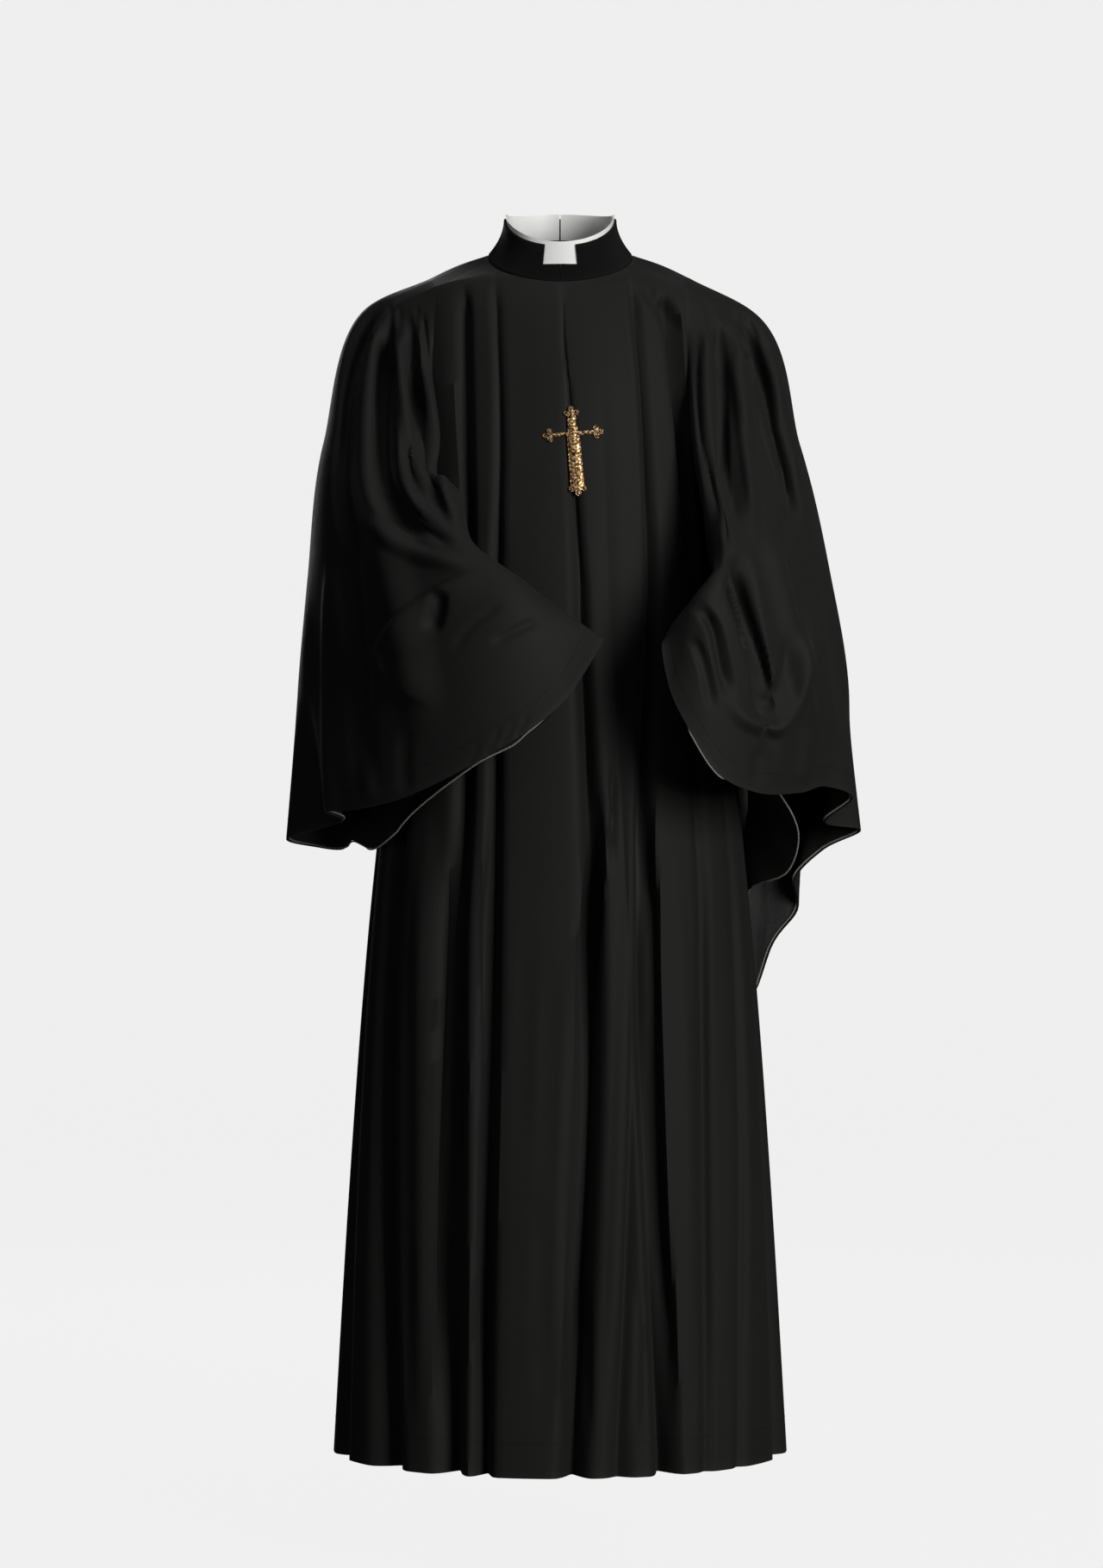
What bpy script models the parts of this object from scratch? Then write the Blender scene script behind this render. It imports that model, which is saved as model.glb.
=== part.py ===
# Pulpit robe, worn on a general figure: cloth walls cut and seamed as the real garment.
# Metres, +Z up, the front faces -Y and +X is the wearer's left.
# The origin lies between the shoulders, where the wearer holds the robe up.

import math

import bmesh
import bpy
import numpy as np

# Thicknesses and gaps.
CLOTH = 0.0020
COLLAR_WALL = 0.0022
INSERT_WALL = 0.0012
FACING_WALL = 0.0010
SEAM = 0.0003
CORD_RADIUS = 0.0013
CROSS_RISE = 0.0024

# Heights.
HEM_Z = -1.412
BELLY_Z = -0.39
WAIST_Z = -0.715
CHEST_Z = -0.15
BACK_YOKE_Z = -0.100

# The neck opening, and where the flat fronts meet the yoke.
NECK_HALF = 0.0865
NECK_FRONT_Z = -0.029
NECK_SIDE_Z = 0.014
NECK_BACK_Z = 0.028
NECK_BACK_Y = 0.068
YOKE_CORNER = math.radians(24.0)
ARM_CORNER = math.radians(47.8)
BACK_CORNER = math.radians(128.1)
SIDE = math.radians(90.0)

# The robe's widest outline at each height: half width, then depth before and behind the middle.
SECTIONS = np.array([
    # height, half width, front, back
    (0.020, 0.197, 0.000, 0.062),
    (0.014, 0.197, 0.002, 0.070),
    (-0.029, 0.197, 0.088, 0.096),
    (-0.050, 0.197, 0.106, 0.106),
    (-0.080, 0.197, 0.119, 0.116),
    (-0.120, 0.197, 0.130, 0.126),
    (-0.200, 0.197, 0.143, 0.136),
    (-0.300, 0.197, 0.150, 0.136),
    (-0.450, 0.200, 0.157, 0.138),
    (-0.600, 0.211, 0.163, 0.150),
    (-0.800, 0.230, 0.172, 0.168),
    (-1.100, 0.252, 0.187, 0.188),
    (-1.420, 0.271, 0.202, 0.206),
])[::-1]

# The top edge of the fluted pieces, by the angle round the body from the front.
TOP_EDGE = np.array([
    # degrees, height
    (0.0, -0.016), (24.0, -0.016), (47.8, -0.030), (49.1, -0.100), (51.9, -0.170),
    (58.5, -0.235), (69.0, -0.262), (90.0, -0.275), (111.0, -0.262), (119.2, -0.235),
    (125.7, -0.170), (128.1, -0.100), (180.0, -0.100),
])

# The valleys between the flutes, round the body from the closure past the wearer's left.
FLUTES = (
    # name, degrees at top, belly, waist and hem, bow, depth at chest, waist and hem (mm),
    # half width at chest and hem (mm)
    ("closure", 0.0, 6.7, 9.6, 3.0, 0.0, 0.6, 24, 30, 8, 22),
    ("left_middle", 13.0, 16.5, 20.0, 14.2, 0.0, 0.2, 5, 11, 14, 20),
    ("left_edge", 24.3, 32.9, 25.9, 27.1, 1.5, 8, 26, 32, 9, 21),
    ("left_side_1", 38.3, 51.5, 47.6, 38.5, 1.5, 18, 7, 6, 13, 13),
    ("left_side_2", 58.5, 68.0, 65.7, 50.4, 0.0, 6, 5, 6, 14, 13),
    ("left_side_3", 76.0, 84.0, 84.0, 74.0, 0.0, 7, 14, 22, 15, 26),
    ("left_back_1", 104.0, 104.0, 102.0, 96.0, 0.0, 7, 16, 26, 15, 26),
    ("left_back_2", 120.0, 118.0, 117.0, 112.0, 0.0, 7, 17, 27, 14, 26),
    ("left_back_3", 131.0, 131.0, 131.0, 128.0, 0.0, 8, 18, 28, 13, 26),
    ("left_back_4", 143.0, 143.0, 143.0, 143.0, 0.0, 8, 18, 28, 13, 26),
    ("left_back_5", 155.0, 155.0, 156.0, 157.0, 0.0, 8, 18, 28, 13, 26),
    ("left_back_6", 168.0, 168.0, 169.0, 171.0, 0.0, 8, 18, 28, 13, 26),
    ("right_back_6", 192.0, 192.0, 191.0, 189.0, 0.0, 8, 18, 28, 13, 26),
    ("right_back_5", 205.0, 205.0, 204.0, 203.0, 0.0, 8, 18, 28, 13, 26),
    ("right_back_4", 217.0, 217.0, 217.0, 217.0, 0.0, 8, 18, 28, 13, 26),
    ("right_back_3", 229.0, 229.0, 229.0, 232.0, 0.0, 8, 18, 28, 13, 26),
    ("right_back_2", 240.0, 242.0, 243.0, 248.0, 0.0, 7, 17, 27, 14, 26),
    ("right_back_1", 256.0, 256.0, 258.0, 264.0, 0.0, 7, 16, 26, 15, 26),
    ("right_side_3", 284.0, 276.0, 276.0, 287.0, 0.0, 7, 14, 20, 15, 26),
    ("right_side_2", 301.5, 300.0, 298.7, 312.2, 0.0, 10, 19, 26, 15, 30),
    ("right_side_1", 324.6, 326.4, 328.8, 331.7, 0.5, 15, 21, 32, 12, 24),
    ("right_edge", 336.7, 337.3, 339.7, 340.6, 2.0, 5, 18, 25, 9, 15),
)

# Where the columns of points lie between two valleys, as shares of the way across.
FRONT_STEPS = (0.0, 0.12, 0.30, 0.50, 0.70, 0.88)
WIDE_STEPS = (0.0, 0.06, 0.15, 0.28, 0.50, 0.72, 0.85, 0.94)
BACK_STEPS = (0.0, 0.22, 0.50, 0.78)
COLUMN_TURN = 0.0178
# How the sleeve's columns crowd to the shoulder at the armhole, and at each section.
HEAD_FAN, BACK_FAN = 2.0, 1.8
HEAD_LIFT = (0.11, 0.03, 0.0, 0.0)
# Where the rows lie, as shares of the way from the top edge to the belly, and then heights.
NECK_ROWS = (0.0, 0.04, 0.09, 0.17, 0.28, 0.42, 0.60, 0.80)
BACK_ROWS = (0.0, 0.14, 0.42, 0.72)
LOWER_HEIGHTS = (BELLY_Z, -0.54, WAIST_Z, -0.93, -1.17, HEM_Z)
YOKE_ROWS = 5
COLLAR_COLUMNS = 34
COLLAR_ROWS = (0.0, 0.3, 0.65, 1.0)

# The yoke's end over the wearer's left shoulder, from the front seam to the back seam.
SHOULDER_END = (
    # x, y, z
    (0.1515, -0.036, -0.0205),
    (0.1560, -0.012, -0.0160),
    (0.1580, 0.008, -0.0170),
    (0.1600, 0.032, -0.0300),
    (0.1590, 0.052, -0.0560),
)

# Sections down each sleeve: the points at its inner, front, outer and back lines.
RIGHT_SLEEVE = (
    # share of the length, inner xyz, front xyz, outer xyz, back xyz
    (0.08, (-0.205, -0.006, -0.300), (-0.172, -0.106, -0.160),
     (-0.226, 0.004, -0.044), (-0.186, 0.106, -0.160)),
    (0.28, (-0.134, -0.130, -0.245), (-0.214, -0.148, -0.205),
     (-0.284, 0.008, -0.215), (-0.226, 0.096, -0.330)),
    (0.50, (-0.099, -0.188, -0.352), (-0.214, -0.178, -0.345),
     (-0.303, 0.016, -0.370), (-0.244, 0.086, -0.450)),
    (0.75, (-0.030, -0.213, -0.402), (-0.170, -0.226, -0.490),
     (-0.315, 0.018, -0.525), (-0.222, 0.000, -0.575)),
)
LEFT_SLEEVE = (
    (0.08, (0.205, -0.010, -0.306), (0.166, -0.112, -0.150),
     (0.230, 0.004, -0.052), (0.186, 0.106, -0.160)),
    (0.28, (0.192, -0.112, -0.330), (0.188, -0.158, -0.215),
     (0.288, 0.008, -0.215), (0.226, 0.100, -0.330)),
    (0.50, (0.176, -0.168, -0.385), (0.226, -0.190, -0.330),
     (0.322, 0.016, -0.360), (0.240, 0.100, -0.450)),
    (0.75, (0.143, -0.208, -0.420), (0.240, -0.212, -0.480),
     (0.345, 0.018, -0.535), (0.214, 0.088, -0.600)),
)

# The sleeve hems, from the wrist along the front, round the outside and back along the body.
RIGHT_HEM = (
    # share of the turn, x, y, z
    (0.00, 0.046, -0.235, -0.457), (0.08, 0.007, -0.255, -0.521),
    (0.20, -0.088, -0.255, -0.589), (0.30, -0.184, -0.205, -0.635),
    (0.38, -0.250, -0.140, -0.649), (0.42, -0.276, -0.100, -0.651),
    (0.455, -0.258, -0.050, -0.662), (0.50, -0.327, 0.020, -0.682),
    (0.56, -0.292, 0.056, -0.695), (0.60, -0.262, 0.045, -0.697),
    (0.64, -0.248, 0.012, -0.685), (0.68, -0.226, -0.024, -0.693),
    (0.73, -0.207, -0.067, -0.690), (0.79, -0.172, -0.124, -0.652),
    (0.87, -0.100, -0.180, -0.597), (0.95, -0.010, -0.200, -0.539),
)
LEFT_HEM = (
    (0.00, 0.117, -0.235, -0.457), (0.06, 0.123, -0.257, -0.511),
    (0.12, 0.148, -0.262, -0.562), (0.18, 0.180, -0.250, -0.608),
    (0.24, 0.225, -0.215, -0.628), (0.31, 0.278, -0.150, -0.628),
    (0.37, 0.311, -0.110, -0.621), (0.42, 0.345, -0.065, -0.636),
    (0.46, 0.316, -0.024, -0.664), (0.50, 0.361, 0.016, -0.673),
    (0.55, 0.318, 0.050, -0.698), (0.59, 0.286, 0.062, -0.732),
    (0.63, 0.290, 0.084, -0.771), (0.67, 0.260, 0.102, -0.815),
    (0.70, 0.236, 0.108, -0.876), (0.735, 0.212, 0.092, -0.810),
    (0.765, 0.222, 0.050, -0.750), (0.80, 0.270, -0.002, -0.722),
    (0.83, 0.281, -0.035, -0.680), (0.87, 0.252, -0.090, -0.625),
    (0.91, 0.205, -0.150, -0.585), (0.95, 0.152, -0.200, -0.520),
)
SLEEVE_ROWS = (0.0, 0.04, 0.10, 0.17, 0.25, 0.33, 0.42, 0.51, 0.60, 0.69, 0.78, 0.86, 0.94, 1.0)

# The facing inside the wearer's left sleeve: its turn and where it starts along the sleeve.
FACING_TURN = (0.61, 0.82)
FACING_FROM = 0.80

# The largest folds down the sleeves, by shares of the length and of the turn.
RIGHT_FOLDS = (
    # name, start and end along, first and last round, depth and half width (mm)
    ("front_outer", 0.03, 0.56, 0.375, 0.285, -17, 26),
    ("front_middle", 0.03, 0.58, 0.285, 0.165, -18, 28),
    ("front_inner", 0.02, 0.50, 0.215, 0.095, -12, 26),
    ("forearm", 0.42, 0.98, 0.300, 0.345, -13, 36),
    ("elbow", 0.40, 0.92, 0.225, 0.255, 11, 42),
    ("back_outer", 0.04, 0.62, 0.640, 0.640, -16, 28),
    ("back_middle", 0.04, 0.58, 0.735, 0.745, -13, 30),
    ("back_inner", 0.03, 0.50, 0.825, 0.845, -8, 28),
    ("outside", 0.30, 0.98, 0.560, 0.585, -13, 34),
)
LEFT_FOLDS = (
    ("front_outer", 0.03, 0.52, 0.320, 0.365, -17, 26),
    ("front_middle", 0.02, 0.56, 0.255, 0.200, -17, 27),
    ("front_inner", 0.02, 0.46, 0.185, 0.105, -9, 26),
    ("forearm", 0.52, 0.96, 0.180, 0.265, -20, 26),
    ("elbow", 0.46, 0.90, 0.265, 0.330, 10, 34),
    ("back_outer", 0.04, 0.62, 0.640, 0.640, -16, 28),
    ("back_middle", 0.04, 0.58, 0.735, 0.745, -13, 30),
    ("back_inner", 0.03, 0.50, 0.825, 0.845, -8, 28),
    ("outside", 0.30, 0.90, 0.545, 0.560, -13, 32),
)

# The collar, by half width and the heights of its top edge.
COLLAR_TOP_HALF = 0.067
COLLAR_TOP_FRONT_Z = 0.0150
COLLAR_TOP_SIDE_Z = 0.058
COLLAR_TOP_BACK_Z = 0.066
COLLAR_TOP_FRONT_Y = 0.078
COLLAR_TOP_BACK_Y = 0.060
NOTCH_HALF = 0.0205
NOTCH_BOTTOM_Z = -0.0075
INSERT_RISE = 0.005

# The cross on the chest: its middle, its lean and its arms (from the middle).
CROSS_X = 0.0145
CROSS_Z = -0.2125
CROSS_LEAN = math.radians(4.9)
CROSS_ARMS = (
    # name, turn in degrees, length to the tip, width of the arm
    ("top", 0.0, 0.0325, 0.0100),
    ("side_left", -90.0, 0.0365, 0.0046),
    ("side_right", 90.0, 0.0365, 0.0046),
    ("foot", 180.0, 0.0715, 0.0135),
)
BUD_RADIUS = 0.0050


def through(at_rows, values, at):
    """A smooth line through the rows, which are in rising order."""
    x = np.asarray(at_rows, float)
    y = np.asarray(values, float)
    at = np.clip(np.asarray(at, float), x[0], x[-1])
    step = np.diff(x)
    slope = np.diff(y, axis=0) / step.reshape((-1,) + (1,) * (y.ndim - 1))
    tangent = np.empty_like(y)
    tangent[0] = slope[0]
    tangent[-1] = slope[-1]
    for i in range(1, len(x) - 1):
        tangent[i] = (slope[i - 1] * step[i] + slope[i] * step[i - 1]) / (step[i - 1] + step[i])
    i = np.clip(np.searchsorted(x, at, side="right") - 1, 0, len(x) - 2)
    t = (at - x[i]) / step[i]
    h = step[i]
    t = t.reshape(t.shape + (1,) * (y.ndim - 1))
    h = h.reshape(h.shape + (1,) * (y.ndim - 1))
    return ((2 * t**3 - 3 * t**2 + 1) * y[i] + (t**3 - 2 * t**2 + t) * h * tangent[i]
            + (3 * t**2 - 2 * t**3) * y[i + 1] + (t**3 - t**2) * h * tangent[i + 1])


def ease(value):
    """A soft step from 0 to 1."""
    t = np.clip(value, 0.0, 1.0)
    return t * t * (3 - 2 * t)


def unit(v):
    return v / np.maximum(np.linalg.norm(v, axis=-1, keepdims=True), 1e-12)


def section(z):
    return (through(SECTIONS[:, 0], SECTIONS[:, 1], z), through(SECTIONS[:, 0], SECTIONS[:, 2], z),
            through(SECTIONS[:, 0], SECTIONS[:, 3], z))


def fold_over(u):
    """The angle from the front on either side, from 0 to 180 degrees."""
    d = np.mod(np.degrees(u), 360.0)
    return np.where(d > 180.0, 360.0 - d, d)


def top_edge(u):
    return np.interp(fold_over(u), TOP_EDGE[:, 0], TOP_EDGE[:, 1])


def flute_angle(row, z):
    """The angle of a valley at a height, in degrees."""
    top_z = float(top_edge(math.radians(row[1])))
    share = np.clip((top_z - z) / (top_z - BELLY_Z), 0.0, 1.0)
    upper = row[1] + (row[2] - row[1]) * share + 4 * row[5] * share * (1 - share)
    heights = (HEM_Z, WAIST_Z, BELLY_Z, BELLY_Z + 0.2)
    lower = through(heights, (row[4], row[3], row[2], row[2]), z)
    return np.where(z > BELLY_Z, upper, lower)


def body(u, z):
    """A point on the robe's outer face, at an angle round the body and a height."""
    u = np.asarray(u, float)
    z = np.asarray(z, float)
    a, front, back = section(z)
    deep = np.where(np.cos(u) > 0, front, back)
    x = a * np.sin(u)
    y = -deep * np.cos(u)
    out_x = np.sin(u) / a
    out_y = -np.cos(u) / np.maximum(deep, 0.02)
    size = np.hypot(out_x, out_y)
    metric = np.hypot(a * np.cos(u), deep * np.sin(u))
    depth = np.zeros(np.broadcast(u, z).shape)
    for row in FLUTES:
        away = np.degrees(u) - flute_angle(row, z)
        away = np.radians((away + 180.0) % 360.0 - 180.0)
        heights = (HEM_Z, WAIST_Z, CHEST_Z, 0.05)
        deepness = np.interp(z, heights, (row[8], row[7], row[6], row[6])) / 1000
        wide = np.interp(z, heights, (row[10], 0.55 * row[10] + 0.45 * row[9], row[9], row[9])) / 1000
        far = np.sqrt((away * metric) ** 2 + 0.002**2) - 0.002
        depth += deepness * (1 - np.sin(0.5 * np.pi * np.clip(far / wide, 0, 1)))
    depth *= ease((top_edge(u) - z) / 0.055)
    return np.stack([x - depth * out_x / size, y - depth * out_y / size,
                     z * np.ones_like(x)], axis=-1)


def body_frame(u, z, wall):
    """Outer and inner points of the body's wall."""
    here = body(u, z)
    du = 0.012
    dz = 0.005
    left = here - body(u - du, z)
    right = body(u + du, z) - here
    up = body(u, z + dz) - body(u, z - dz)
    normal = unit(np.cross(left + right, up))
    lean = np.minimum(np.sum(normal * unit(np.cross(left, up)), axis=-1),
                      np.sum(normal * unit(np.cross(right, up)), axis=-1))
    return here, here - normal * (wall / np.clip(lean, 0.6, 1.0))[..., None]


def grid_normals(grid, wrap):
    """Directions away from a grid of points, rows by columns, turned to the outside."""
    if wrap:
        across = np.roll(grid, -1, axis=1) - np.roll(grid, 1, axis=1)
    else:
        across = np.gradient(grid, axis=1)
    along = np.gradient(grid, axis=0)
    return unit(np.cross(across, along))


def pulled(outer, inner, edge, amount):
    """Draws one edge of a wall back from its seam."""
    line = {"top": (0, 1), "bottom": (-1, -2)}.get(edge)
    if line:
        first, second = outer[line[0]], outer[line[1]]
    else:
        first, second = (outer[:, 0], outer[:, 1]) if edge == "left" else (outer[:, -1], outer[:, -2])
    tangent = unit(np.gradient(first, axis=0))
    into = second - first
    into = unit(into - np.sum(into * tangent, axis=-1, keepdims=True) * tangent) * amount
    for grid in (outer, inner):
        if line:
            grid[line[0]] += into
        elif edge == "left":
            grid[:, 0] += into
        else:
            grid[:, -1] += into


def add_mesh(name, points, faces, material, smooth=True):
    mesh = bpy.data.meshes.new(name)
    mesh.from_pydata([tuple(p) for p in points], [], faces)
    mesh.validate(verbose=False)
    work = bmesh.new()
    work.from_mesh(mesh)
    bmesh.ops.recalc_face_normals(work, faces=work.faces)
    volume = work.calc_volume(signed=True)
    if volume < 0:
        bmesh.ops.reverse_faces(work, faces=work.faces)
    work.to_mesh(mesh)
    work.free()
    mesh.materials.append(material)
    obj = bpy.data.objects.new(name, mesh)
    bpy.context.scene.collection.objects.link(obj)
    mesh.polygons.foreach_set("use_smooth", [smooth] * len(mesh.polygons))
    return obj


def wall(name, outer, inner, material, wrap=False, edges=(), pull=SEAM / 2, guide=None):
    """A closed cloth wall between two grids of points, its squares split as the guide's are."""
    outer = outer.copy()
    inner = inner.copy()
    for edge in edges:
        pulled(outer, inner, edge, pull)
    guide = outer if guide is None else guide
    rows, columns = outer.shape[:2]
    points = np.concatenate([outer.reshape(-1, 3), inner.reshape(-1, 3)])
    half = rows * columns
    faces = []

    def at(r, c, layer):
        return layer * half + r * columns + c % columns

    for r in range(rows - 1):
        for c in range(columns if wrap else columns - 1):
            a, b, d, e = at(r, c, 0), at(r, c + 1, 0), at(r + 1, c + 1, 0), at(r + 1, c, 0)
            k = (c + 1) % columns
            first = np.linalg.norm(guide[r, c] - guide[r + 1, k])
            second = np.linalg.norm(guide[r, k] - guide[r + 1, c])
            for layer in (0, half):
                if first <= second:
                    pair = [(a, b, d), (a, d, e)]
                else:
                    pair = [(a, b, e), (b, d, e)]
                for face in pair:
                    ids = tuple(i + layer for i in face)
                    faces.append(ids if layer else ids[::-1])
    for c in range(columns if wrap else columns - 1):
        for r, flip in ((0, False), (rows - 1, True)):
            a, b, d, e = at(r, c, 0), at(r, c + 1, 0), at(r, c + 1, 1), at(r, c, 1)
            pair = [(a, b, d), (a, d, e)]
            faces += [f[::-1] for f in pair] if flip else pair
    if not wrap:
        for r in range(rows - 1):
            for c, flip in ((0, True), (columns - 1, False)):
                a, b, d, e = at(r, c, 0), at(r + 1, c, 0), at(r + 1, c, 1), at(r, c, 1)
                pair = [(a, b, d), (a, d, e)]
                faces += [f[::-1] for f in pair] if flip else pair
    return add_mesh(name, points, faces, material)


def neck(phi):
    """The neck seam, by the angle round the neck from the front."""
    x = NECK_HALF * math.sin(phi)
    c = math.cos(phi)
    if c >= 0:
        z = NECK_FRONT_Z + (NECK_SIDE_Z - NECK_FRONT_Z) * (1 - c)
        a, front, _ = (float(v) for v in section(z))
        return np.array([x, -front * math.sqrt(1 - (x / a) ** 2), z])
    return np.array([x, NECK_BACK_Y * -c, NECK_SIDE_Z + (NECK_BACK_Z - NECK_SIDE_Z) * c * c])


def neck_turn(x):
    """The angle round the neck whose seam lies this far from the middle."""
    return math.asin(max(-1.0, min(1.0, x / NECK_HALF)))


def edge_run(u0, u1):
    """The top edge between two angles, as angles, heights and the length run."""
    u = np.linspace(u0, u1, 161)
    z = top_edge(u)
    a, front, back = section(z)
    deep = np.where(np.cos(u) > 0, front, back)
    line = np.stack([a * np.sin(u), -deep * np.cos(u), z], axis=-1)
    run = np.concatenate([[0], np.cumsum(np.linalg.norm(np.diff(line, axis=0), axis=1))])
    return u, z, run


def turn_after(index):
    return 360.0 if index + 1 == len(FLUTES) else 0.0


def steps_between(index, steps):
    """The shares from this valley to the next, with one on the corner of an armhole."""
    here = FLUTES[index][1]
    there = FLUTES[(index + 1) % len(FLUTES)][1] + turn_after(index)
    corners = [math.degrees(c) for c in (ARM_CORNER, BACK_CORNER)]
    corners += [360.0 - c for c in corners]
    for corner in corners:
        if here < corner < there:
            u, _, run = edge_run(math.radians(here), math.radians(there))
            at = float(np.interp(math.radians(corner), u, run)) / run[-1]
            arm_first = 90.0 < corner < 180.0 or corner > 270.0
            before, after = (4, 2) if arm_first else (2, 4)
            return [at * k / before for k in range(before)] + [
                at + (1 - at) * k / after for k in range(after)]
    return list(steps)


def marks(first, last, steps, skip_from=0.0, stop_at=0.0):
    """Columns from one valley to another, each as a valley's index and the share past it."""
    found = []
    for index in range(first, last + (1 if stop_at else 0)):
        for share in steps_between(index, steps):
            if index == first and share < skip_from:
                continue
            if index == last and share > stop_at:
                continue
            found.append((index, share))
    if not stop_at:
        found.append((last - 1, 1.0))
    return found


def piece_columns(columns, rows, neck_top=False):
    """Angles and heights of a piece's points, rows by columns."""
    us, zs = [], []
    for index, share in columns:
        here = FLUTES[index]
        there = FLUTES[(index + 1) % len(FLUTES)]
        turn = turn_after(index)

        def between(z):
            low = flute_angle(here, z)
            return low + (flute_angle(there, z) + turn - low) * share

        if neck_top:
            top_u = math.radians(here[1] + (there[1] + turn - here[1]) * share)
            top_z = float(neck(neck_turn(0.197 * math.sin(top_u)))[2])
            upper = [top_z + (BELLY_Z - top_z) * t for t in rows]
            column = [(math.radians(float(between(z))), z) for z in upper]
        else:
            u, z, run = edge_run(math.radians(here[1]), math.radians(there[1] + turn))
            top_u = float(np.interp(share * run[-1], run, u))
            top_z = float(np.interp(share * run[-1], run, z))
            belly = here[2] + (there[2] + turn - here[2]) * share
            bow = here[5] * (1 - share) + there[5] * share
            column = []
            for t in rows:
                angle = math.degrees(top_u) * (1 - t) + belly * t + 4 * t * (1 - t) * bow
                column.append((math.radians(angle), top_z + (BELLY_Z - top_z) * t))
        column += [(math.radians(float(between(z))), z) for z in LOWER_HEIGHTS]
        us.append([c[0] for c in column])
        zs.append([c[1] for c in column])
    return np.array(us).T, np.array(zs).T


def piece(columns, rows, neck_top=False):
    """Outer and inner grids of one piece of the body."""
    u, z = piece_columns(columns, rows, neck_top)
    outer, inner = body_frame(u, z, CLOTH)
    return {"outer": outer, "inner": inner, "top": u[0], "columns": columns}


def yoke_grids(left_seam, right_seam, back_seam, right_corner_phi, left_corner_phi):
    """The yoke from its front edge on the wearer's left round the back to the right."""
    ends = np.array(SHOULDER_END)
    mirror = ends[::-1] * np.array([-1.0, 1.0, 1.0])
    outline = np.concatenate([left_seam[0], ends, back_seam[0], mirror, right_seam[0]])
    known = np.concatenate([left_seam[1], ends * np.nan, back_seam[1], mirror * np.nan, right_seam[1]])
    counts = [len(left_seam[0]), len(ends), len(back_seam[0]), len(ends), len(right_seam[0])]
    starts = np.concatenate([[0], np.cumsum(counts)])
    run = np.concatenate([[0], np.cumsum(np.linalg.norm(np.diff(outline, axis=0), axis=1))])
    stations = [0, starts[1] - 1, starts[1] + 2, starts[2], (starts[2] + starts[3]) // 2,
                starts[3] - 1, starts[3] + 2, starts[4], starts[5] - 1]
    angles = [left_corner_phi, 80, 95, 128, 180, 232, 265, 280, 360 - right_corner_phi]
    phi = np.radians(np.interp(run, run[stations], angles))
    inside = np.array([neck(p if p <= math.pi else p - 2 * math.pi) for p in phi])
    shares = np.linspace(0, 1, YOKE_ROWS)
    grid = inside[None] + (outline - inside)[None] * shares[:, None, None]
    normals = grid_normals(grid, False)
    if normals[2, len(phi) // 2, 1] < 0:
        normals = -normals
    rise = 0.006 * np.sin(np.pi * shares)[:, None] * ease((phi - math.radians(85)) / 0.3)[None] \
        * ease((math.radians(275) - phi) / 0.3)[None]
    grid = grid + normals * rise[..., None]
    normals = grid_normals(grid, False)
    if normals[2, len(phi) // 2, 1] < 0:
        normals = -normals
    inner = grid - normals * CLOTH
    fixed = ~np.isnan(known[:, 0])
    inner[-1, fixed] = known[fixed]
    return grid, inner, starts


def sleeve_ring(row, turn):
    """A closed line through a section's inner, front, outer and back points."""
    inner, front, outer, back = (np.array(p) for p in row[1:])
    middle = (inner + front + outer + back) / 4
    angle = 2 * math.pi * turn[:, None]
    return (middle + (inner - outer) / 2 * np.cos(angle) + (front - back) / 2 * np.sin(angle)
            + (inner - front + outer - back) / 4 * np.cos(2 * angle))


def hem_ring(rows, turn):
    """A closed line through the hem's points."""
    table = np.array(rows)
    table = np.concatenate([table[-2:] - [1, 0, 0, 0], table, table[:3] + [1, 0, 0, 0]])
    return through(table[:, 0], table[:, 1:], turn)


def fold_relief(rows, turn, grid, folds):
    """How far the named folds move each point of a sleeve outwards."""
    step = np.linalg.norm(np.roll(grid, -1, axis=1) - grid, axis=-1)
    run = np.concatenate([np.zeros((len(rows), 1)), np.cumsum(step, axis=1)], axis=1)
    closed = np.append(turn, 1.0)
    move = np.zeros(grid.shape[:2])
    for _, start, end, first, last, deep, wide in folds:
        share = np.clip((rows - start) / (end - start), 0, 1)
        ends = ease(share / 0.25) * ease((1 - share) / 0.35)
        for i in np.flatnonzero(ends):
            line = first + (last - first) * share[i]
            far = np.abs(run[i, :-1] - np.interp(line, closed, run[i]))
            far = np.minimum(far, run[i, -1] - far)
            bump = 0.5 + 0.5 * np.cos(np.pi * np.clip(far / (wide / 1000), 0, 1))
            move[i] += deep / 1000 * bump * ends[i]
    return move


def clear_of_body(grid, margin):
    """Moves points out to lie a margin outside the body's widest outline, wherever the body
    has cloth at that height."""
    a, front, back = section(grid[..., 2])
    deep = np.where(grid[..., 1] < 0, front, back)
    q = np.sqrt((grid[..., 0] / (a + margin)) ** 2 + (grid[..., 1] / (deep + margin)) ** 2)
    turn = np.arctan2(grid[..., 0] / a, -grid[..., 1] / np.maximum(deep, 0.02))
    beside = ease((top_edge(turn) + 0.130 - grid[..., 2]) / 0.060)
    scale = 1 / (1 + (np.minimum(q, 1.0) - 1) * beside)
    moved = grid.copy()
    moved[..., 0] *= scale
    moved[..., 1] *= scale
    return moved


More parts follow.
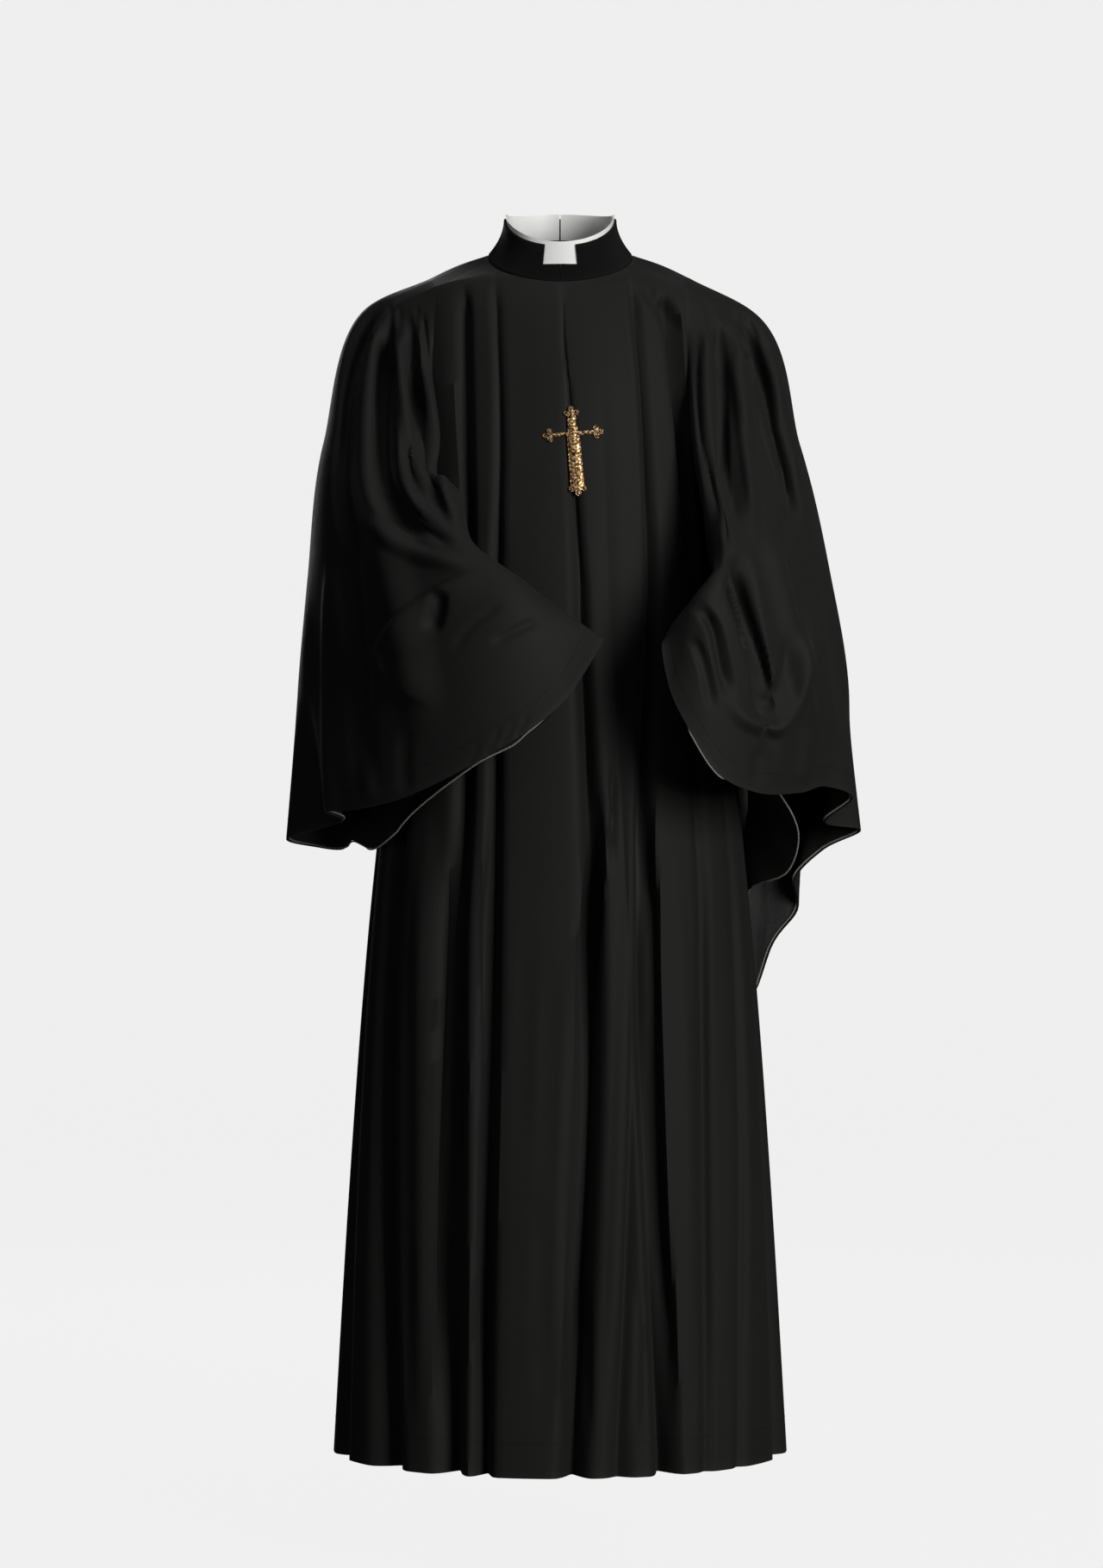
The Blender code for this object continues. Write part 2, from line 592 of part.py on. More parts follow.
def sleeve_grids(seam_outer, seam_inner, turn, sections, hem, folds, side):
    """A sleeve from the armhole to its hem: side is 1 on the wearer's left, -1 on the right."""
    stations = [0.0] + [row[0] for row in sections] + [1.0]
    rings = [seam_outer]
    for row, lift in zip(sections, HEAD_LIFT):
        rings.append(sleeve_ring(row, turn + lift * np.sin(2 * np.pi * turn)))
    rings.append(hem_ring(hem, turn))
    rows = np.array(SLEEVE_ROWS)
    grid = through(stations, np.array(rings), rows)
    margin = 0.0105 * ease(rows / 0.09)[:, None]
    moved = clear_of_body(grid, margin)
    grid[1:] = moved[1:]
    normals = grid_normals(grid, True) * -side
    relief = fold_relief(rows, turn, grid, folds) * ease(rows / 0.06)[:, None]
    grid = grid + normals * relief[..., None]
    moved = clear_of_body(grid, margin)
    grid[1:] = moved[1:]
    away = unit(seam_outer - seam_inner)
    grid[0] = seam_outer
    normals = grid_normals(grid, True) * -side
    facing_in = ease((0.45 - np.sum(normals[0] * away, axis=-1, keepdims=True)) / 0.6)
    grid[0] = seam_outer + away * (0.0002 * facing_in + 0.0002)
    normals = grid_normals(grid, True) * -side
    inner = grid - normals * CLOTH
    return grid, inner


def seam_loop(points, inner, shoulder):
    """An armhole from the underarm round the front, split finely enough for the sleeve's
    folds, with each point's share of the turn: the shares crowd to the shoulder."""
    closed = np.concatenate([points, points[:1]])
    closed_inner = np.concatenate([inner, inner[:1]])
    run = np.concatenate([[0], np.cumsum(np.linalg.norm(np.diff(closed, axis=0), axis=1))])
    top = run[shoulder]

    def turn_at(length):
        front = 0.5 * min(length / top, 1) ** HEAD_FAN
        back = 1 - 0.5 * min((run[-1] - length) / (run[-1] - top), 1) ** BACK_FAN
        return front if length <= top else back

    found = []
    for i in range(len(points)):
        wide = turn_at(run[i + 1] - 1e-9) - turn_at(run[i])
        parts = max(1, round(wide / COLUMN_TURN))
        for k in range(parts):
            share = k / parts
            found.append((closed[i] + (closed[i + 1] - closed[i]) * share,
                          closed_inner[i] + (closed_inner[i + 1] - closed_inner[i]) * share,
                          turn_at(run[i] + (run[i + 1] - run[i]) * share)))
    return tuple(np.array(column) for column in zip(*found))


def facing(outside, inside, turn, material):
    """The band inside the wearer's left sleeve hem, where the sleeve hangs open."""
    first, last = np.searchsorted(turn, FACING_TURN)
    rows = sum(r >= FACING_FROM for r in SLEEVE_ROWS)
    normals = unit(outside - inside)[-rows:, first:last]
    outer = inside[-rows:, first:last] - normals * (SEAM + 0.0004)
    inner = outer - normals * FACING_WALL
    band = (outer.copy(), inner.copy())
    for edge, amount in (("bottom", 0.0012), ("left", 0.0010), ("right", 0.0010)):
        pulled(*band, edge, amount)
    guide = outside[-rows:, first:last]
    return wall("sleeve_facing_left", *band, material, guide=guide)


def tube(name, line, radius, sides, material):
    """A cord along a closed line."""
    ahead = unit(np.roll(line, -1, axis=0) - np.roll(line, 1, axis=0))
    guide = unit(line - line.mean(axis=0))
    side = unit(np.cross(ahead, guide))
    up = np.cross(side, ahead)
    points, faces = [], []
    for i in range(len(line)):
        for k in range(sides):
            angle = 2 * math.pi * k / sides
            points.append(line[i] + radius * (math.cos(angle) * side[i] + math.sin(angle) * up[i]))
    for i in range(len(line)):
        j = (i + 1) % len(line)
        for k in range(sides):
            m = (k + 1) % sides
            a, b, c, d = i * sides + k, i * sides + m, j * sides + m, j * sides + k
            faces += [(a, b, c), (a, c, d)]
    return add_mesh(name, points, faces, material)


def collar_point(phi, share, inset):
    """The collar band's surface: share 0 is the neck seam and 1 the top edge."""
    low = neck(phi)
    c = math.cos(phi)
    x = COLLAR_TOP_HALF * math.sin(phi)
    if c >= 0:
        y = -COLLAR_TOP_FRONT_Y * c
        z = COLLAR_TOP_FRONT_Z + (COLLAR_TOP_SIDE_Z - COLLAR_TOP_FRONT_Z) * (1 - c)
    else:
        y = -COLLAR_TOP_BACK_Y * c
        z = COLLAR_TOP_SIDE_Z + (COLLAR_TOP_BACK_Z - COLLAR_TOP_SIDE_Z) * c * c
    high = np.array([x, y, z])
    flare = 0.010 * share * (1 - share) * 2 * abs(math.sin(phi)) ** 2
    point = low + (high - low) * share
    point[:2] -= unit(np.array([point[0], point[1]])) * (flare + inset)
    return point


def collar_turns():
    """The angles of the collar's columns on the wearer's left, front to back."""
    gap = math.asin(SEAM / 2 / 0.08)
    edge = math.asin(NOTCH_HALF / 0.0765)
    turns = list(np.linspace(gap, edge, 4))
    turns += list(np.linspace(edge + 0.006, math.pi, COLLAR_COLUMNS // 2 - 3))
    return turns, edge


def collar(material):
    turns, edge = collar_turns()
    turns = turns + [-t for t in turns[::-1][1:]]
    outer, inner = [], []
    for row in COLLAR_ROWS:
        outer_row, inner_row = [], []
        for turn in turns:
            floor = collar_point(turn, 0.0, 0.0)[2]
            ceiling = collar_point(turn, 1.0, 0.0)[2]
            high = NOTCH_BOTTOM_Z if abs(turn) <= edge + 1e-6 else ceiling
            low = floor + SEAM
            share = (low + (high - low) * row - floor) / (ceiling - floor)
            outer_row.append(collar_point(turn, share, 0.0))
            inner_row.append(collar_point(turn, share, COLLAR_WALL))
        outer.append(outer_row)
        inner.append(inner_row)
    return wall("collar_band", np.array(outer), np.array(inner), material)


def insert(material):
    turns, _ = collar_turns()
    turns[-1] -= 0.012
    turns = [-t for t in turns[::-1]] + turns
    inset = COLLAR_WALL + SEAM
    outer, inner = [], []
    for row in COLLAR_ROWS[1:] + (None,):
        outer_row, inner_row = [], []
        for turn in turns:
            tall = collar_point(turn, 1.0, 0.0)[2] - collar_point(turn, 0.0, 0.0)[2]
            share = 1 + INSERT_RISE / tall if row is None else row
            outer_row.append(collar_point(turn, share, inset))
            inner_row.append(collar_point(turn, share, inset + INSERT_WALL))
        outer.append(outer_row)
        inner.append(inner_row)
    return wall("collar_insert", np.array(outer), np.array(inner), material)


def prism(outline, low, high, bevel):
    """A raised shape over an outline (x right, z up), its face drawn in by the bevel."""
    middle = np.mean(outline, axis=0)
    work = bmesh.new()
    loops = []
    for height, share in ((low, 1.0), (high, bevel)):
        line = middle + (np.array(outline) - middle) * share
        loops.append([work.verts.new((p[0], p[1], height)) for p in line])
    count = len(outline)
    for lower, upper in zip(loops, loops[1:]):
        for i in range(count):
            j = (i + 1) % count
            work.faces.new((lower[i], lower[j], upper[j], upper[i]))
    work.faces.new(loops[0][::-1])
    work.faces.new(loops[-1])
    mesh = bpy.data.meshes.new("cross_piece")
    work.to_mesh(mesh)
    work.free()
    obj = bpy.data.objects.new("cross_piece", mesh)
    bpy.context.scene.collection.objects.link(obj)
    return obj


def disc(x, y, radius, sides=9):
    return [(x + radius * math.cos(2 * math.pi * (k + 0.5) / sides),
             y + radius * math.sin(2 * math.pi * (k + 0.5) / sides)) for k in range(sides)]


def cross(material):
    pieces = [prism(disc(0, 0, 0.0074, 9), 0, CROSS_RISE, 0.6)]
    for _, turn, length, width in CROSS_ARMS:
        c, s = math.cos(math.radians(turn)), math.sin(math.radians(turn))

        def place(points):
            return [(p[0] * c + p[1] * s, -p[0] * s + p[1] * c) for p in points]

        end = length - 2.2 * BUD_RADIUS
        half = width / 2
        bar = [(-half, -0.002), (half, -0.002), (half, end + 0.003), (-half, end + 0.003)]
        pieces.append(prism(place(bar), 0, CROSS_RISE * 0.86, 0.90))
        for x, y in ((-0.92, 0.0), (0.92, 0.0), (0.0, 1.2)):
            bud = disc(x * BUD_RADIUS, end + y * BUD_RADIUS, BUD_RADIUS)
            pieces.append(prism(place(bud), 0, CROSS_RISE, 0.55))
    base = pieces[0]
    for other in pieces[1:]:
        join = base.modifiers.new("join", "BOOLEAN")
        join.operation = "UNION"
        join.solver = "EXACT"
        join.object = other
    graph = bpy.context.evaluated_depsgraph_get()
    mesh = bpy.data.meshes.new_from_object(base.evaluated_get(graph))
    for obj in pieces:
        bpy.data.objects.remove(obj)
    work = bmesh.new()
    work.from_mesh(mesh)
    for axis, levels in ((0, (-0.02, 0.0, 0.02)), (1, (-0.045, -0.02, 0.0))):
        for level in levels:
            normal = [0, 0, 0]
            normal[axis] = 1
            at = [0, 0, 0]
            at[axis] = level
            parts = work.verts[:] + work.edges[:] + work.faces[:]
            bmesh.ops.bisect_plane(work, geom=parts, plane_co=at, plane_no=normal)
    bmesh.ops.remove_doubles(work, verts=work.verts, dist=0.00004)
    bmesh.ops.triangulate(work, faces=work.faces)
    c, s = math.cos(CROSS_LEAN), math.sin(CROSS_LEAN)
    points = []
    for vert in work.verts:
        x, up, rise = vert.co
        x, up = x * c - up * s, x * s + up * c
        z = CROSS_Z + up
        a, front, _ = (float(v) for v in section(z))
        u = math.asin((CROSS_X + x) / a)
        spot = np.array([a * math.sin(u), -front * math.cos(u), z])
        out = unit(np.array([math.sin(u) / a, -math.cos(u) / front, 0.0]))
        points.append(spot + out * (SEAM + 0.0002 + rise))
    faces = [tuple(v.index for v in f.verts) for f in work.faces]
    work.free()
    bpy.data.meshes.remove(mesh)
    return add_mesh("cross_applique", points, faces, material, smooth=False)


def colour(name, rgb, roughness, metallic=0.0, sheen=0.0):
    material = bpy.data.materials.new(name)
    material.use_nodes = True
    shader = material.node_tree.nodes["Principled BSDF"]
    shader.inputs["Base Color"].default_value = (*rgb, 1)
    shader.inputs["Roughness"].default_value = roughness
    shader.inputs["Metallic"].default_value = metallic
    shader.inputs["Sheen Weight"].default_value = sheen
    return material


def corner_split(found):
    """Where the top edge of a piece leaves the yoke for the armhole."""
    angles = fold_over(found["top"])
    corner = math.degrees(ARM_CORNER) if angles.min() < 60 else math.degrees(BACK_CORNER)
    return int(np.abs(angles - corner).argmin())


def main():
    for obj in list(bpy.data.objects):
        bpy.data.objects.remove(obj)
    cloth = colour("robe_cloth", (0.018, 0.018, 0.020), 0.72, sheen=0.25)
    collar_cloth = colour("collar_cloth", (0.010, 0.010, 0.011), 0.9, sheen=0.3)
    insert_white = colour("insert_white", (0.86, 0.86, 0.84), 0.45)
    satin = colour("facing_satin", (0.05, 0.05, 0.055), 0.3)
    cord = colour("cord_pale", (0.42, 0.41, 0.39), 0.4)
    gold = colour("cross_gold", (0.72, 0.50, 0.17), 0.35, metallic=0.9)

    front_left = piece(marks(0, 2, FRONT_STEPS), NECK_ROWS, neck_top=True)
    front_right = piece(marks(21, 22, WIDE_STEPS), NECK_ROWS, neck_top=True)
    side_left = piece(marks(2, 5, FRONT_STEPS, stop_at=0.5), NECK_ROWS)
    side_right = piece(marks(17, 21, FRONT_STEPS, skip_from=0.5), NECK_ROWS)
    back = piece(marks(5, 17, BACK_STEPS, skip_from=0.5, stop_at=0.5), BACK_ROWS)
    sides = ("top", "left", "right")
    for name, found in (("front_left", front_left), ("front_right", front_right),
                        ("side_front_left", side_left), ("side_front_right", side_right),
                        ("back", back)):
        pull = SEAM if name.startswith("side") else SEAM / 2
        wall(name, found["outer"], found["inner"], cloth, edges=sides, pull=pull)

    lc, rc = corner_split(side_left), corner_split(side_right)
    back_angles = np.degrees(back["top"])
    bl = int(np.abs(back_angles - math.degrees(BACK_CORNER)).argmin())
    br = int(np.abs(back_angles - (360 - math.degrees(BACK_CORNER))).argmin())
    picks = sorted({bl, br, *range(bl + 3, br - 2, 3)})
    left_seam = (side_left["outer"][0, :lc + 1], side_left["inner"][0, :lc + 1])
    right_seam = (side_right["outer"][0, rc:], side_right["inner"][0, rc:])
    back_seam = (back["outer"][0, picks], back["inner"][0, picks])
    left_phi = math.degrees(math.asin(min(1, left_seam[0][0, 0] / NECK_HALF)))
    right_phi = math.degrees(math.asin(min(1, -right_seam[0][-1, 0] / NECK_HALF)))
    yoke_outer, yoke_inner, starts = yoke_grids(left_seam, right_seam, back_seam, right_phi, left_phi)
    wall("yoke", yoke_outer, yoke_inner, cloth, edges=("top", "bottom", "left", "right"))

    e0, e1 = starts[1] - 1, starts[2] + 1
    loop_outer = np.concatenate([side_left["outer"][0, ::-1][:-lc - 1], yoke_outer[-1, e0:e1],
                                 back["outer"][0, 1:bl][::-1]])
    loop_inner = np.concatenate([side_left["inner"][0, ::-1][:-lc - 1], yoke_inner[-1, e0:e1],
                                 back["inner"][0, 1:bl][::-1]])
    shoulder = len(side_left["outer"][0]) - lc - 1 + 3
    outer0, inner0, turn = seam_loop(loop_outer, loop_inner, shoulder)
    grid, inner = sleeve_grids(outer0, inner0, turn, LEFT_SLEEVE, LEFT_HEM, LEFT_FOLDS, 1)
    wall("sleeve_left", grid, inner, cloth, wrap=True, edges=("top",), pull=0.0013)
    left = (grid, inner, turn)

    e0, e1 = starts[3] - 1, starts[4] + 1
    loop_outer = np.concatenate([side_right["outer"][0, :rc], yoke_outer[-1, e0:e1][::-1],
                                 back["outer"][0, br + 1:-1]])
    loop_inner = np.concatenate([side_right["inner"][0, :rc], yoke_inner[-1, e0:e1][::-1],
                                 back["inner"][0, br + 1:-1]])
    outer0, inner0, turn = seam_loop(loop_outer, loop_inner, rc + 3)
    grid, inner = sleeve_grids(outer0, inner0, turn, RIGHT_SLEEVE, RIGHT_HEM, RIGHT_FOLDS, -1)
    wall("sleeve_right", grid, inner, cloth, wrap=True, edges=("top",), pull=0.0013)
    right = (grid, inner, turn)

    facing(left[0], left[1], left[2], satin)
    for name, (grid, inner, turn) in (("sleeve_cord_left", left), ("sleeve_cord_right", right)):
        down = grid[-1] - grid[-2]
        along = np.roll(grid[-1], -1, axis=0) - np.roll(grid[-1], 1, axis=0)
        below = unit(np.cross(along, grid[-1] - inner[-1]))
        below *= np.sign(np.sum(below * down, axis=-1, keepdims=True))
        middle = (grid[-1] + inner[-1]) / 2
        tube(name, middle + below * (CORD_RADIUS + SEAM + 0.0003), CORD_RADIUS, 4, cord)

    collar(collar_cloth)
    insert(insert_white)
    cross(gold)


main()
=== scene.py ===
# %% [markdown]
# # A pulpit robe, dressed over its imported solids
# The solids hold the garment's true form: cloth walls, flutes, bell sleeves, collar and cross.
# This lesson makes the same pieces finer, adds the small creases, the sewing and the finishes,
# and lights them. Everything is in metres, +Z is up and the robe's front faces -Y. Left and
# right are the robe's own: its left is at +X.

# %% Load the fixed frame
import math

import bmesh
import bpy
import numpy as np
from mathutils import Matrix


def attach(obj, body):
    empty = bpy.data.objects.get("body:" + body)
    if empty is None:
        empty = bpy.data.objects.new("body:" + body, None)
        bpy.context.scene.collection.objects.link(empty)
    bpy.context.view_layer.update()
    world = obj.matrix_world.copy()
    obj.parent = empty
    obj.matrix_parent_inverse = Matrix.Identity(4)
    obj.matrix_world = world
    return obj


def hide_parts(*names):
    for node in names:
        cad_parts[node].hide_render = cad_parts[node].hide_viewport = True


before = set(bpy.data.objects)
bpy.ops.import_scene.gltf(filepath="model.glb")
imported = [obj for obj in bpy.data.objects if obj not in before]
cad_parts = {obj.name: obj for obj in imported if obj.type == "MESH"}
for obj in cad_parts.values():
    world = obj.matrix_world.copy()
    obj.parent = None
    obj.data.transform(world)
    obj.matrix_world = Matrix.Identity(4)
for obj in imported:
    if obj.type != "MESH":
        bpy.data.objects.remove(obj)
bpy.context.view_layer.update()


# %% A way to put things in the scene
def add_object(name, data):
    """A new object with its mesh, lamp or camera, linked to the scene."""
    obj = bpy.data.objects.new(name, data)
    bpy.context.scene.collection.objects.link(obj)
    return obj


# %% [markdown]
# ## The camera
# A full-length garment is photographed from far off, level with its middle, so that its
# hem and shoulders keep their true widths. The lens is given for the long side of the film.

# %% The camera, level with the robe's middle
EYE = (-0.0103, 4.5, -0.618)  # x, distance before the robe, z
EYE_PIXELS = 4369  # that distance in pixels, each 1.03 mm wide on the robe
PICTURE_PIXELS = 1820  # the picture's long side
FILM_SIDE = 36.0  # the film's long side, in millimetres

camera_data = bpy.data.cameras.new("camera")
camera_data.sensor_width = FILM_SIDE
camera_data.lens = FILM_SIDE * EYE_PIXELS / PICTURE_PIXELS
camera = add_object("camera", camera_data)
camera.location = (EYE[0], -EYE[1], EYE[2])
camera.rotation_euler = (math.radians(90), 0, 0)
bpy.context.scene.camera = camera
print("camera", EYE[1], "m before the robe, lens", round(camera_data.lens, 1), "mm")

# %% [markdown]
# ## Node trees as ordinary maths
# Shaders and Geometry Nodes are both trees of nodes. One small class adds a node of any
# type with its settings and sockets, and a wrapped socket knows +, - and *, so that a
# pattern reads like a formula.


# %% A socket that knows arithmetic
class Signal:
    """One output socket. Arithmetic on it adds Math nodes to its tree."""

    def __init__(self, tree, socket):
        self.tree = tree
        self.socket = socket

    def maths(self, operation, *values):
        return self.tree.add("ShaderNodeMath", {"operation": operation}, dict(enumerate(values)))

    def __add__(self, other):
        return self.maths("ADD", self, other)

    def __sub__(self, other):
        return self.maths("SUBTRACT", self, other)

    def __rsub__(self, other):
        return self.maths("SUBTRACT", other, self)

    def __mul__(self, other):
        return self.maths("MULTIPLY", self, other)

    def wave(self):
        """A wave between 0 and 1."""
        return self.maths("SINE", self) * 0.5 + 0.5

    __radd__ = __add__
    __rmul__ = __mul__


# %% Any node in one call
class Tree:
    """A node tree with one way to add any node."""

    def __init__(self, tree):
        self.tree = tree

    def add(self, kind, settings=None, sockets=None, out=0):
        node = self.tree.nodes.new(kind)
        for key, value in (settings or {}).items():
            if key == "stops":
                first, last = node.color_ramp.elements
                for element, (at, shade) in zip((first, last), value):
                    element.position = at
                    element.color = (shade, shade, shade, 1)
            else:
                setattr(node, key, value)
        for key, value in (sockets or {}).items():
            self.feed(node.inputs[key], value)
        return Signal(self, node.outputs[out])

    def feed(self, socket, value):
        if isinstance(value, Signal):
            self.tree.links.new(value.socket, socket)
        else:
            socket.default_value = value


# %% A material and its patterns
class Finish(Tree):
    """A material whose Principled shader takes plain numbers first and patterns after."""

    def __init__(self, name, colour, roughness, **constants):
        self.material = bpy.data.materials.new(name)
        self.material.use_nodes = True
        super().__init__(self.material.node_tree)
        self.shader = self.tree.nodes["Principled BSDF"]
        self.paint(base_color=(*colour, 1), roughness=roughness, **constants)

    def paint(self, **channels):
        """Feeds the shader: base_color goes to its socket Base Color, and so on."""
        for key, value in channels.items():
            socket = key.replace("_", " ").title().replace("Ior", "IOR")
            self.feed(self.shader.inputs[socket], value)

    def mix(self, amount, first, second):
        first, second = ((*c, 1) if isinstance(c, tuple) else c for c in (first, second))
        return self.add("ShaderNodeMix", {"data_type": "RGBA"},
                        {0: amount, 6: first, 7: second}, out=2)

    def noise(self, scale, detail=3.0):
        """Cloudy noise in the object's own coordinates."""
        place = self.add("ShaderNodeTexCoord", out=3)
        return self.add("ShaderNodeTexNoise", None,
                        {"Vector": place, "Scale": scale, "Detail": detail})

    def ramp(self, pattern, low, high):
        """0 where a pattern is under low, 1 where it is over high, and even between."""
        return self.add("ShaderNodeValToRGB", {"stops": ((low, 0.0), (high, 1.0))}, {0: pattern})

    def emboss(self, height, strength, distance):
        self.paint(normal=self.add("ShaderNodeBump", None, {
            "Height": height, "Strength": strength, "Distance": distance}))


print("tree helpers ready")

# %% [markdown]
# ## A pale studio
# Black cloth shows its folds only where a lamp grazes them, so one large soft key stands
# to the right of the camera and the rest stays dim. A floor and backdrop in one sheet
# look pale to the camera, and give little light back, as a far-off studio wall does.

# %% Floor and backdrop in one sheet
FLOOR_Z = -1.545
STUDIO_RADIUS, STUDIO_CORNER, STUDIO_HEIGHT, STUDIO_SIDES = 9.0, 3.0, 9.0, 72
CORNER_TURNS = np.linspace(0.1, math.pi / 2, 16)
PAPER, PAPER_ROUGHNESS, PAPER_GLOW = (0.03, 0.03, 0.03), 0.9, 0.985
BACKDROP, BOUNCED = (0.871, 0.871, 0.871), (0.02, 0.02, 0.02)  # seen, and given back


def studio_sheet():
    """A floor that curves up into a backdrop all round the robe, as a very wide bowl."""
    profile = [(2.0, 0.0), (4.0, 0.0), (STUDIO_RADIUS - STUDIO_CORNER, 0.0)]
    profile += [(STUDIO_RADIUS - STUDIO_CORNER * (1 - math.sin(a)),
                 STUDIO_CORNER * (1 - math.cos(a))) for a in CORNER_TURNS]
    profile += [(STUDIO_RADIUS, STUDIO_HEIGHT)]
    turns = [2 * math.pi * k / STUDIO_SIDES for k in range(STUDIO_SIDES)]
    work = bmesh.new()
    rings = [[work.verts.new((reach * math.cos(turn), reach * math.sin(turn), FLOOR_Z + rise))
              for turn in turns] for reach, rise in profile]
    middle = work.verts.new((0, 0, FLOOR_Z))
    for k in range(STUDIO_SIDES):
        after = (k + 1) % STUDIO_SIDES
        work.faces.new((middle, rings[0][k], rings[0][after]))
        for lower, upper in zip(rings, rings[1:]):
            work.faces.new((lower[k], upper[k], upper[after], lower[after]))
    mesh = bpy.data.meshes.new("studio_sheet")
    work.to_mesh(mesh)
    work.free()
    mesh.polygons.foreach_set("use_smooth", [True] * len(mesh.polygons))
    paper = Finish("studio_paper", PAPER, PAPER_ROUGHNESS, specular_ior_level=0.0,
                   emission_strength=PAPER_GLOW)
    seen = paper.add("ShaderNodeLightPath")
    paper.paint(emission_color=paper.mix(seen, BOUNCED, BACKDROP))
    mesh.materials.append(paper.material)
    sheet = add_object("studio_sheet", mesh)


studio_sheet()
print("studio sheet", 2 * STUDIO_RADIUS, "m across")

# %% Lamps
WHITE = (1.0, 1.0, 1.0)
LAMPS = (
    # name, place, what it points at, width and height, watts, colour
    ("key", (2.75, -3.6, 0.3), (0.05, 0.0, -0.6), (1.7, 2.2), 168, (1.0, 0.985, 0.97)),
    ("fill", (-3.0, -3.4, 0.2), (0.0, 0.0, -0.6), (2.0, 2.6), 12, (0.96, 0.98, 1.0)),
    ("top", (0.3, -0.6, 2.6), (0.0, 0.0, 0.0), (1.6, 1.6), 20, WHITE),
    ("back", (-0.8, 2.7, 0.6), (0.0, 0.0, -0.5), (1.2, 1.8), 34, WHITE),
)
DIM_ROOM = (0.03, 0.03, 0.031, 1)

for name, place, target, size, power, colour in LAMPS:
    light = bpy.data.lights.new(name, "AREA")
    light.shape = "RECTANGLE"
    light.size, light.size_y = size
    light.energy = power
    light.color = colour
    obj = add_object(name, light)
    away = np.array(target, float) - np.array(place, float)
    obj.location = place
    obj.rotation_euler = (math.acos(-away[2] / np.linalg.norm(away)), 0,
                          math.atan2(away[1], away[0]) - math.pi / 2)
world = bpy.data.worlds.new("studio")
world.use_nodes = True
world.node_tree.nodes["Background"].inputs["Color"].default_value = DIM_ROOM
bpy.context.scene.world = world
bpy.context.scene.view_settings.view_transform = "Standard"
print("studio lit by", len(LAMPS), "lamps")

# %% [markdown]
# ## Finishes
# Robe cloth is a dull black twill: fine diagonal ribs, a faint nap that catches light at
# glancing angles, and pressed seams that shine a little, through a lower roughness and a
# painted lighter sheen in their colour. The pattern follows each piece's own cut through a
# UV map in metres, so the ribs keep their real pitch on every fold.

# %% Patterns of the weave and the iron
MILLIMETRE = 1000.0
CROSS_THREADS = 2.1  # cross threads to a rib
RIB_SHARE, THREAD_SHARE = 0.7, 0.3


def weave(finish, pitch):
    """Twill ribs over fine cross threads, as a height from 0 to 1; pitch in millimetres."""
    at = finish.add("ShaderNodeUVMap", {"uv_map": "cloth"})
    across = finish.add("ShaderNodeSeparateXYZ", None, {0: at}, out=0)
    down = Signal(finish, across.socket.node.outputs[1])
    turn = 2 * math.pi * MILLIMETRE / pitch
    twill = ((across + down) * turn).wave()
    threads = (down * (turn * CROSS_THREADS)).wave()
    return twill * RIB_SHARE + threads * THREAD_SHARE


def pressed(finish):
    """1 on seams and hems, where the iron has been, and 0 elsewhere; painted sheen goes there."""
    return finish.add("ShaderNodeAttribute", {"attribute_name": "press"}, None, out=2)


# %% Robe cloth and collar cloth
def robe_cloth():
    cloth = Finish("robe_cloth", (0.02, 0.02, 0.02), 0.6, sheen_weight=0.03,
                   sheen_roughness=0.4, specular_ior_level=0.12)
    cloud = cloth.noise(5.5)
    shade = cloth.mix(cloud, (0.0094, 0.0092, 0.0089), (0.0130, 0.0127, 0.0122))
    ribs = weave(cloth, 1.1)
    shade = cloth.mix(ribs * 0.35, shade, (0.0185, 0.0180, 0.0172))
    # Painted sheen: pressed seams and hems get a lighter colour; their lower roughness below is
    # real.
    shade = cloth.mix(pressed(cloth) * 0.4, shade, (0.019, 0.0186, 0.018))
    cloth.paint(base_color=shade, roughness=0.62 + cloud * 0.12 - pressed(cloth) * 0.1)
    cloth.emboss(ribs, 0.22, 0.0002)
    return cloth.material


def collar_cloth():
    cloth = Finish("collar_cloth", (0.004, 0.004, 0.004), 0.85, sheen_weight=0.03,
                   sheen_roughness=0.6, specular_ior_level=0.07)
    nap = cloth.noise(900.0, 2.0)
    shade = cloth.mix(nap, (0.0016, 0.0016, 0.0017), (0.0040, 0.0040, 0.0042))
    # Painted sheen: the band's pressed edges get a lighter colour.
    shade = cloth.mix(pressed(cloth) * 0.5, shade, (0.0075, 0.0075, 0.0077))
    cloth.paint(base_color=shade, roughness=0.8 + nap * 0.15)
    cloth.emboss(nap * 0.6 + weave(cloth, 0.8) * 0.4, 0.3, 0.00015)
    return cloth.material


# %% Satin facing, white insert and pale cord
def facing_satin():
    satin = Finish("facing_satin", (0.03, 0.03, 0.03), 0.4, sheen_weight=0.1,
                   specular_ior_level=0.4)
    crumple_and_sheen = satin.noise(22.0, 4.0)
    # Painted sheen: the crumples' mottled highlights are painted into the colour; the same noise
    # also sets real roughness and bumps.
    shade = satin.mix(crumple_and_sheen, (0.009, 0.0095, 0.0095), (0.046, 0.047, 0.0465))
    satin.paint(base_color=shade, roughness=0.32 + crumple_and_sheen * 0.26)
    satin.emboss(crumple_and_sheen * 0.85 + weave(satin, 0.6) * 0.15, 0.7, 0.006)
    return satin.material


def insert_white():
    white = Finish("insert_white", (0.80, 0.80, 0.78), 0.42, specular_ior_level=0.45,
                   subsurface_weight=0.08)
    cloud = white.noise(60.0)
    white.paint(base_color=white.mix(cloud, (0.95, 0.945, 0.92), (0.88, 0.87, 0.84)),
                roughness=0.36 + cloud * 0.14)
    white.emboss(white.noise(1500.0, 1.0), 0.08, 0.0001)
    return white.material


